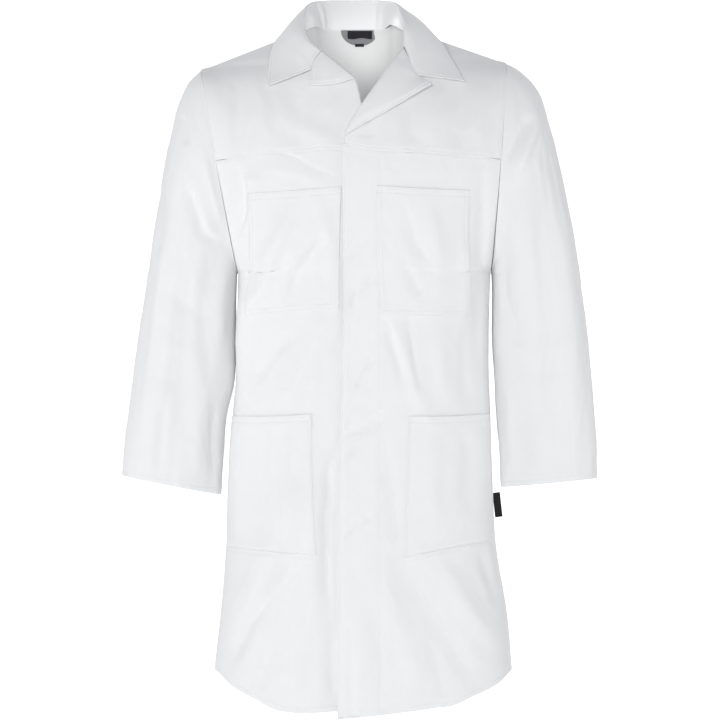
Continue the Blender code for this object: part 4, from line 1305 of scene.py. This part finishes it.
# ================================================================ pockets
POCKETS = {
    "chest_pocket_right": (-1, (248.7, 193), (341.4, 186.2), (339.0, 308.6), (250, 315.3)),
    "chest_pocket_left": (1, (376.7, 185.3), (470, 190), (471.3, 316.2), (381.0, 314.8)),
    "lower_pocket_right": (-1, (233.4, 415.8), (311.8, 413.6), (316.6, 555.4), (227.5, 547.0)),
    "lower_pocket_left": (1, (409.4, 415.8), (489.2, 413.4), (491.6, 539.0), (405.0, 556.8)),
}
BOWS = {  # side edges' sideways bow in elevation units at half height
    "chest_pocket_right": (0.4, -0.6), "chest_pocket_left": (-1.4, -2.0), "lower_pocket_right": (0.0, -1.5), "lower_pocket_left": (0.9, 0.0)}


def pocket(name, s, c, u, w):
    tl, tr, br, bl = (np.array(p, float) for p in c)
    U_, W_ = u[..., None], w[..., None]
    q = (tl * (1 - U_) + tr * U_) * (1 - W_) + (bl * (1 - U_) + br * U_) * W_
    l, r = BOWS[name]
    bow = np.sin(math.pi * w)
    qx = q[..., 0] + bow * (l * (1 - u) + r * u)
    qy = q[..., 1] + 1.5 * np.sin(math.pi * u) * (1 - w) * (1 if "lower" in name else 0.4) + (-1.6 * np.sin(math.pi * u) * w if name == "chest_pocket_right" else 0)
    p = front_at(qx, qy)
    th = theta_of(p[..., 0], p[..., 2])
    n = outn(p)
    px, py = elev(p)
    puff = (0.0020 if "lower" in name else 0.0010 if s > 0 else 0.0002) * np.sin(math.pi * u) ** 0.6 * np.exp(-(w / 0.25) ** 2) + 0.0009 * np.sin(math.pi * u) ** 0.5 * np.sin(math.pi * np.clip(w, 0, 1)) ** 0.5
    h = drape(px, py) * fade_edges(th) + lap(s, th) + puff
    return p, n, h, px, py


for nm, (s, *c) in POCKETS.items():
    W0 = 0.135
    H0 = 0.19 if "chest" in nm else 0.215
    us = spaced(W0, 0.0024, fine0=True, fine1=True, band=0.007)
    ws = spaced(H0, 0.0026, fine0=True, fine1=True, band=0.014)
    U, W = np.meshgrid(us, ws, indexing="ij")
    p, n, h, px, py = pocket(nm, s, c, U, W)
    h = h + (0.0013 if "lower" in nm else 0.0011) + 0.0003 * vnoise(px / 12, py / 14, 95)
    if "lower" in nm:
        h = h + 0.0013 * smooth(0.90, 0.995, W) * np.sin(math.pi * np.clip(U, 0.02, 0.98)) ** 0.4
    Q = p + n * h[..., None]
    side_rows = (0.0018, 0.0075) if "chest" in nm else (0.0018,)
    sewn = {"l": side_rows, "r": side_rows, "b": side_rows, "t": (0.0095,)}
    if nm == "chest_pocket_right":
        sewn["r"] = ()
    o = sheet_obj(nm + "_cloth", Q, CLOTH_M, 0.0013, sewn=sewn, rounded="lrtb", outward=(0, -1, 0))
    tie_front(o)
    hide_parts(nm)
    declare(o)


# ================================================================ labels
def inside_back(u, v, off):
    y = 0.06
    for _ in range(8):
        x, z = xu(u, y), zv(v, y)
        y = on_body(x, z, 1)[..., 1] - off
    return np.stack([x, y, z], -1)


def grid(f, nu, nw):
    u, w = np.meshgrid(np.linspace(0, 1, nu), np.linspace(0, 1, nw), indexing="ij")
    return f(u, w)


def half_moon(u, w):
    hw = 18.5 * np.sqrt(np.maximum(1 - (0.96 * w) ** 2.2, 0))
    return inside_back(359.5 + hw * (2 * u - 1), 30.3 + 15.0 * w, 0.0022)


o = sheet_obj("neck_patch_cloth", grid(half_moon, 60, 26), GREY_M, 0.0008, rounded="lrtb", outward=(0, -1, 0))
ride_torso(o)
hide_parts("neck_patch")
declare(o)


def label_f(u0, u1, v0, v1, off, wob):
    def f(u, w):
        v = v0 + (v1 - v0) * w + wob * np.sin(u * 5.2 * math.pi / 2) * w
        return inside_back(u0 + (u1 - u0) * u, v, off + 0.0007 * np.sin(math.pi * u))
    return f


o = sheet_obj("neck_label_cloth", grid(label_f(347.6, 372, 31, 38.7, 0.0036, 0.6), 40, 16), BLACK_M, 0.0007, rounded="lrtb", outward=(0, -1, 0))
ride_torso(o)
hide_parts("neck_label")
declare(o)
o = sheet_obj("size_label_cloth", grid(label_f(355, 364, 44.0, 46.8, 0.0036, 0.1), 16, 10), BLACK_M, 0.0006, rounded="lrtb", outward=(0, -1, 0))
ride_torso(o)
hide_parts("size_label")
PENDING["neck_patch_cloth"][3].append(o)


def flag(u, w):
    x0, x1 = xu(492.3), xu(499.8)
    return np.stack([x0 + (x1 - x0) * u + 0.0042 * w, 0 * u - 0.004 + 0.001 * np.sin(3 * w), zv(492.8 + 24.6 * w - 1.0 * u)], -1)


o = sheet_obj("side_label_cloth", grid(flag, 14, 36), BLACK_M, 0.0007, rounded="lrtb", outward=(0, -1, 0))
ride_torso(o)
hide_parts("side_label")
declare(o)

# ================================================================ snaps
SNAP_V = (192, 286.5, 381, 475.5, 570)
SNAP_U = 361.0


def turned(name, profile, centre, normal, mat, seg=28):
    n_ = np.array(normal) / np.linalg.norm(normal)
    a = np.cross(n_, [0, 0, 1.0])
    a /= np.linalg.norm(a)
    b = np.cross(n_, a)
    V, F = [], []
    for r, d in profile:
        for k in range(seg):
            q = 2 * math.pi * k / seg
            V.append(np.array(centre) + n_ * d + (a * math.cos(q) + b * math.sin(q)) * max(r, 1e-5))
    m = len(profile)
    for i in range(m - 1):
        for k in range(seg):
            k2 = (k + 1) % seg
            F.append((i * seg + k, i * seg + k2, (i + 1) * seg + k2, (i + 1) * seg + k))
    return obj(name, np.array(V), np.array(F), mat)


for k, v in enumerate(SNAP_V):
    p = front_at(np.array(SNAP_U), np.array(float(v)))
    P1, th1 = p[None, None], theta_of(p[0], p[2])
    px, py = elev(p[None, None])
    base = drape(px, py)[0, 0]
    mid = p + np.array([0, -1, 0]) * base
    soc = turned(f"snap_socket_{k + 1}_cap", ((0, -0.0002), (0.0022, -0.0002), (0.0026, 0.0001), (0.0054, 0.0001), (0.0058, 0.0003), (0.0054, 0.0006), (0, 0.0006)), mid, (0, -1, 0), METAL_M)
    stu = turned(f"snap_stud_{k + 1}_ball", ((0, -0.0014), (0.0054, -0.0014), (0.0058, -0.0012), (0.0054, -0.0009), (0.0024, -0.0009), (0.0020, -0.0004), (0.0014, -0.0003), (0, -0.0003)), mid, (0, -1, 0), METAL_M)
    tie_front(soc)
    tie_front(stu)
    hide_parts(f"snap_socket_{k + 1}")
    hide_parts(f"snap_stud_{k + 1}")

# ================================================================ threads
def tie(o, how):
    if how == "torso":
        ride_torso(o)
    else:
        tie_front(o)


def stitched(name, how, base, rows):
    o = thread(name, rows, THREAD_M)
    tie(o, how)
    PENDING[base][3].append(o)
    return o


for s in (-1, 1):
    nm = side_name[s]
    f = f"front_panel_{nm}_cloth"
    rows = [iso(f, "b", 0.0075)]
    if s > 0:
        rows.append(iso(f, "l", 0.0028))
    stitched(f"thread_front_{nm}", s, f, rows)
    y = f"front_yoke_{nm}_cloth"
    stitched(f"thread_yoke_{nm}", "torso", y, [iso(y, "t", 0.0026), iso(y, "r", 0.0026)])
    stitched(f"thread_lapel_{nm}", "torso", f"lapel_{nm}_cloth", [iso(f"lapel_{nm}_cloth", "b", 0.0050), iso(f"lapel_{nm}_cloth", "r", 0.0050)])
    for kind in ("chest", "lower"):
        p = f"{kind}_pocket_{nm}_cloth"
        rows = [iso(p, "t", 0.0095), iso(p, "l", 0.0018), iso(p, "b", 0.0018)]
        if not (kind == "chest" and s < 0):
            rows.append(iso(p, "r", 0.0018))
        if kind == "chest":
            rows += [iso(p, "l", 0.0075), iso(p, "b", 0.0075)]
            if s > 0:
                rows.append(iso(p, "r", 0.0075))
        for d in (0.0016, 0.0034, 0.0052):
            rows += [iso(p, "t", d, 0.0, 0.10), iso(p, "t", d, 0.90, 1.0)]
        if kind == "chest" and s > 0:
            rows += [iso(p, "l", 0.0340, 0.0, 0.14)]      # the pen slot's short row
        stitched(f"thread_{kind}_pocket_{nm}", s, p, rows)
    q = f"sleeve_lower_{nm}_cloth"
    o = thread(f"thread_cuff_{nm}", [iso(q, "b", 0.0080)], THREAD_M)
    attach(o, "forearm_" + nm)
    PENDING[q][3].append(o)
stitched("thread_back_hem", "torso", "back_panel_cloth", [iso("back_panel_cloth", "b", 0.0075)])
stitched("thread_back_yoke", "torso", "back_yoke_cloth", [iso("back_yoke_cloth", "t", 0.0026), iso("back_yoke_cloth", "l", 0.0026), iso("back_yoke_cloth", "r", 0.0026)])
stitched("thread_collar", "torso", "collar_leaf_cloth", [iso("collar_leaf_cloth", "b", 0.0050), iso("collar_leaf_cloth", "l", 0.0050, 0.0, 1.0), iso("collar_leaf_cloth", "r", 0.0050, 0.0, 1.0)])

# the fly's long row of stitches
S = SURF["front_panel_left_cloth"]
px, py = elev(S["A"])
pts, nr = [], []
for j in range(S["A"].shape[1]):
    col = px[:, j]
    if py[0, j] < 139:
        continue
    k = int(np.argmin(np.abs(col - 379.0)))
    k = min(max(k, 1), len(col) - 2)
    a, b = (k, k + 1) if col[k] < 379.0 else (k - 1, k)
    t = (379.0 - col[a]) / max(col[b] - col[a], 1e-6)
    pts.append(S["A"][a, j] * (1 - t) + S["A"][b, j] * t)
    nr.append(S["n"][a, j])
pts, nr = np.array(pts), np.array(nr)
stitched("thread_fly", 1, "front_panel_left_cloth", [(pts + nr * 0.00012, nr)])
declare_all()

# ================================================================ stage, light, camera
def area(name, loc, target, size, power, size_y=None):
    d = bpy.data.lights.new(name, "AREA")
    d.shape = "RECTANGLE"
    d.size = size
    d.size_y = size_y or size
    d.energy = power
    o = bpy.data.objects.new(name, d)
    bpy.context.scene.collection.objects.link(o)
    o.location = loc
    from mathutils import Vector
    o.rotation_euler = (Vector(target) - Vector(loc)).to_track_quat("-Z", "Y").to_euler()
    return o


FLOOR_Z = -2.35
bm_v = [(-18, -18, FLOOR_Z), (18, -18, FLOOR_Z), (18, 18, FLOOR_Z), (-18, 18, FLOOR_Z)]
me = bpy.data.meshes.new("stage_floor")
me.from_pydata(bm_v, [], [(0, 1, 2, 3)])
floor = bpy.data.objects.new("stage_floor", me)
bpy.context.scene.collection.objects.link(floor)
me.materials.append(plain_mat("floor_pale", (0.86, 0.86, 0.86), 0.8))
me = bpy.data.meshes.new("stage_wall")
me.from_pydata([(-18, 11, FLOOR_Z - 0.01), (18, 11, FLOOR_Z - 0.01), (18, 11, 12), (-18, 11, 12)], [], [(0, 1, 2, 3)])
wall = bpy.data.objects.new("stage_wall", me)
bpy.context.scene.collection.objects.link(wall)
wm = bpy.data.materials.new("wall_white")
wm.use_nodes = True
wb = wm.node_tree.nodes["Principled BSDF"]
wb.inputs["Base Color"].default_value = (1, 1, 1, 1)
wb.inputs["Emission Color"].default_value = (1, 1, 1, 1)
wb.inputs["Emission Strength"].default_value = 1.0
wb.inputs["Roughness"].default_value = 1.0
me.materials.append(wm)
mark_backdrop(floor, wall)

world = bpy.data.worlds.new("studio")
bpy.context.scene.world = world
world.use_nodes = True
world.node_tree.nodes["Background"].inputs["Color"].default_value = (0.92, 0.92, 1.0, 1)
world.node_tree.nodes["Background"].inputs["Strength"].default_value = 0.27

area("key", (-2.2, -4.9, 0.75), (0, 0, -0.55), 1.5, 93, 1.5)
area("front", (0.6, -5.7, -0.45), (0, 0, -0.5), 1.6, 87, 1.6)
area("side_left", (-3.4, -0.9, -0.6), (0, 0, -0.6), 1.6, 26, 2.2)
area("side_right", (3.4, -0.9, -0.6), (0, 0, -0.6), 1.6, 30, 2.2)

# a small soft light in the neck opening, turned to the inside of the back
nl = area("neck_light", (xu(357), -0.050, zv(66, -0.05)), (xu(354), 0.1, zv(68, 0.1)), 0.05, 0.068, 0.06)
nl.visible_camera = False

cam = bpy.data.cameras.new("cam")
cam.sensor_width = 36.0
cam.lens = 36.0 * STATION / (720 * UNIT)
cam.clip_end = 60
co = bpy.data.objects.new("cam", cam)
bpy.context.scene.collection.objects.link(co)
co.location = (0, -STATION, Z_MID)
co.rotation_euler = (math.pi / 2, 0, 0)
bpy.context.scene.camera = co
bpy.context.scene.view_settings.view_transform = "Standard"

lo_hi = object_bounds()
as_list = lambda b: [[float(x) for x in p] for p in b] if hasattr(b[0], "__len__") else [float(x) for x in b]
{"cad": as_list(BOX_CAD), "visual": as_list(lo_hi)}
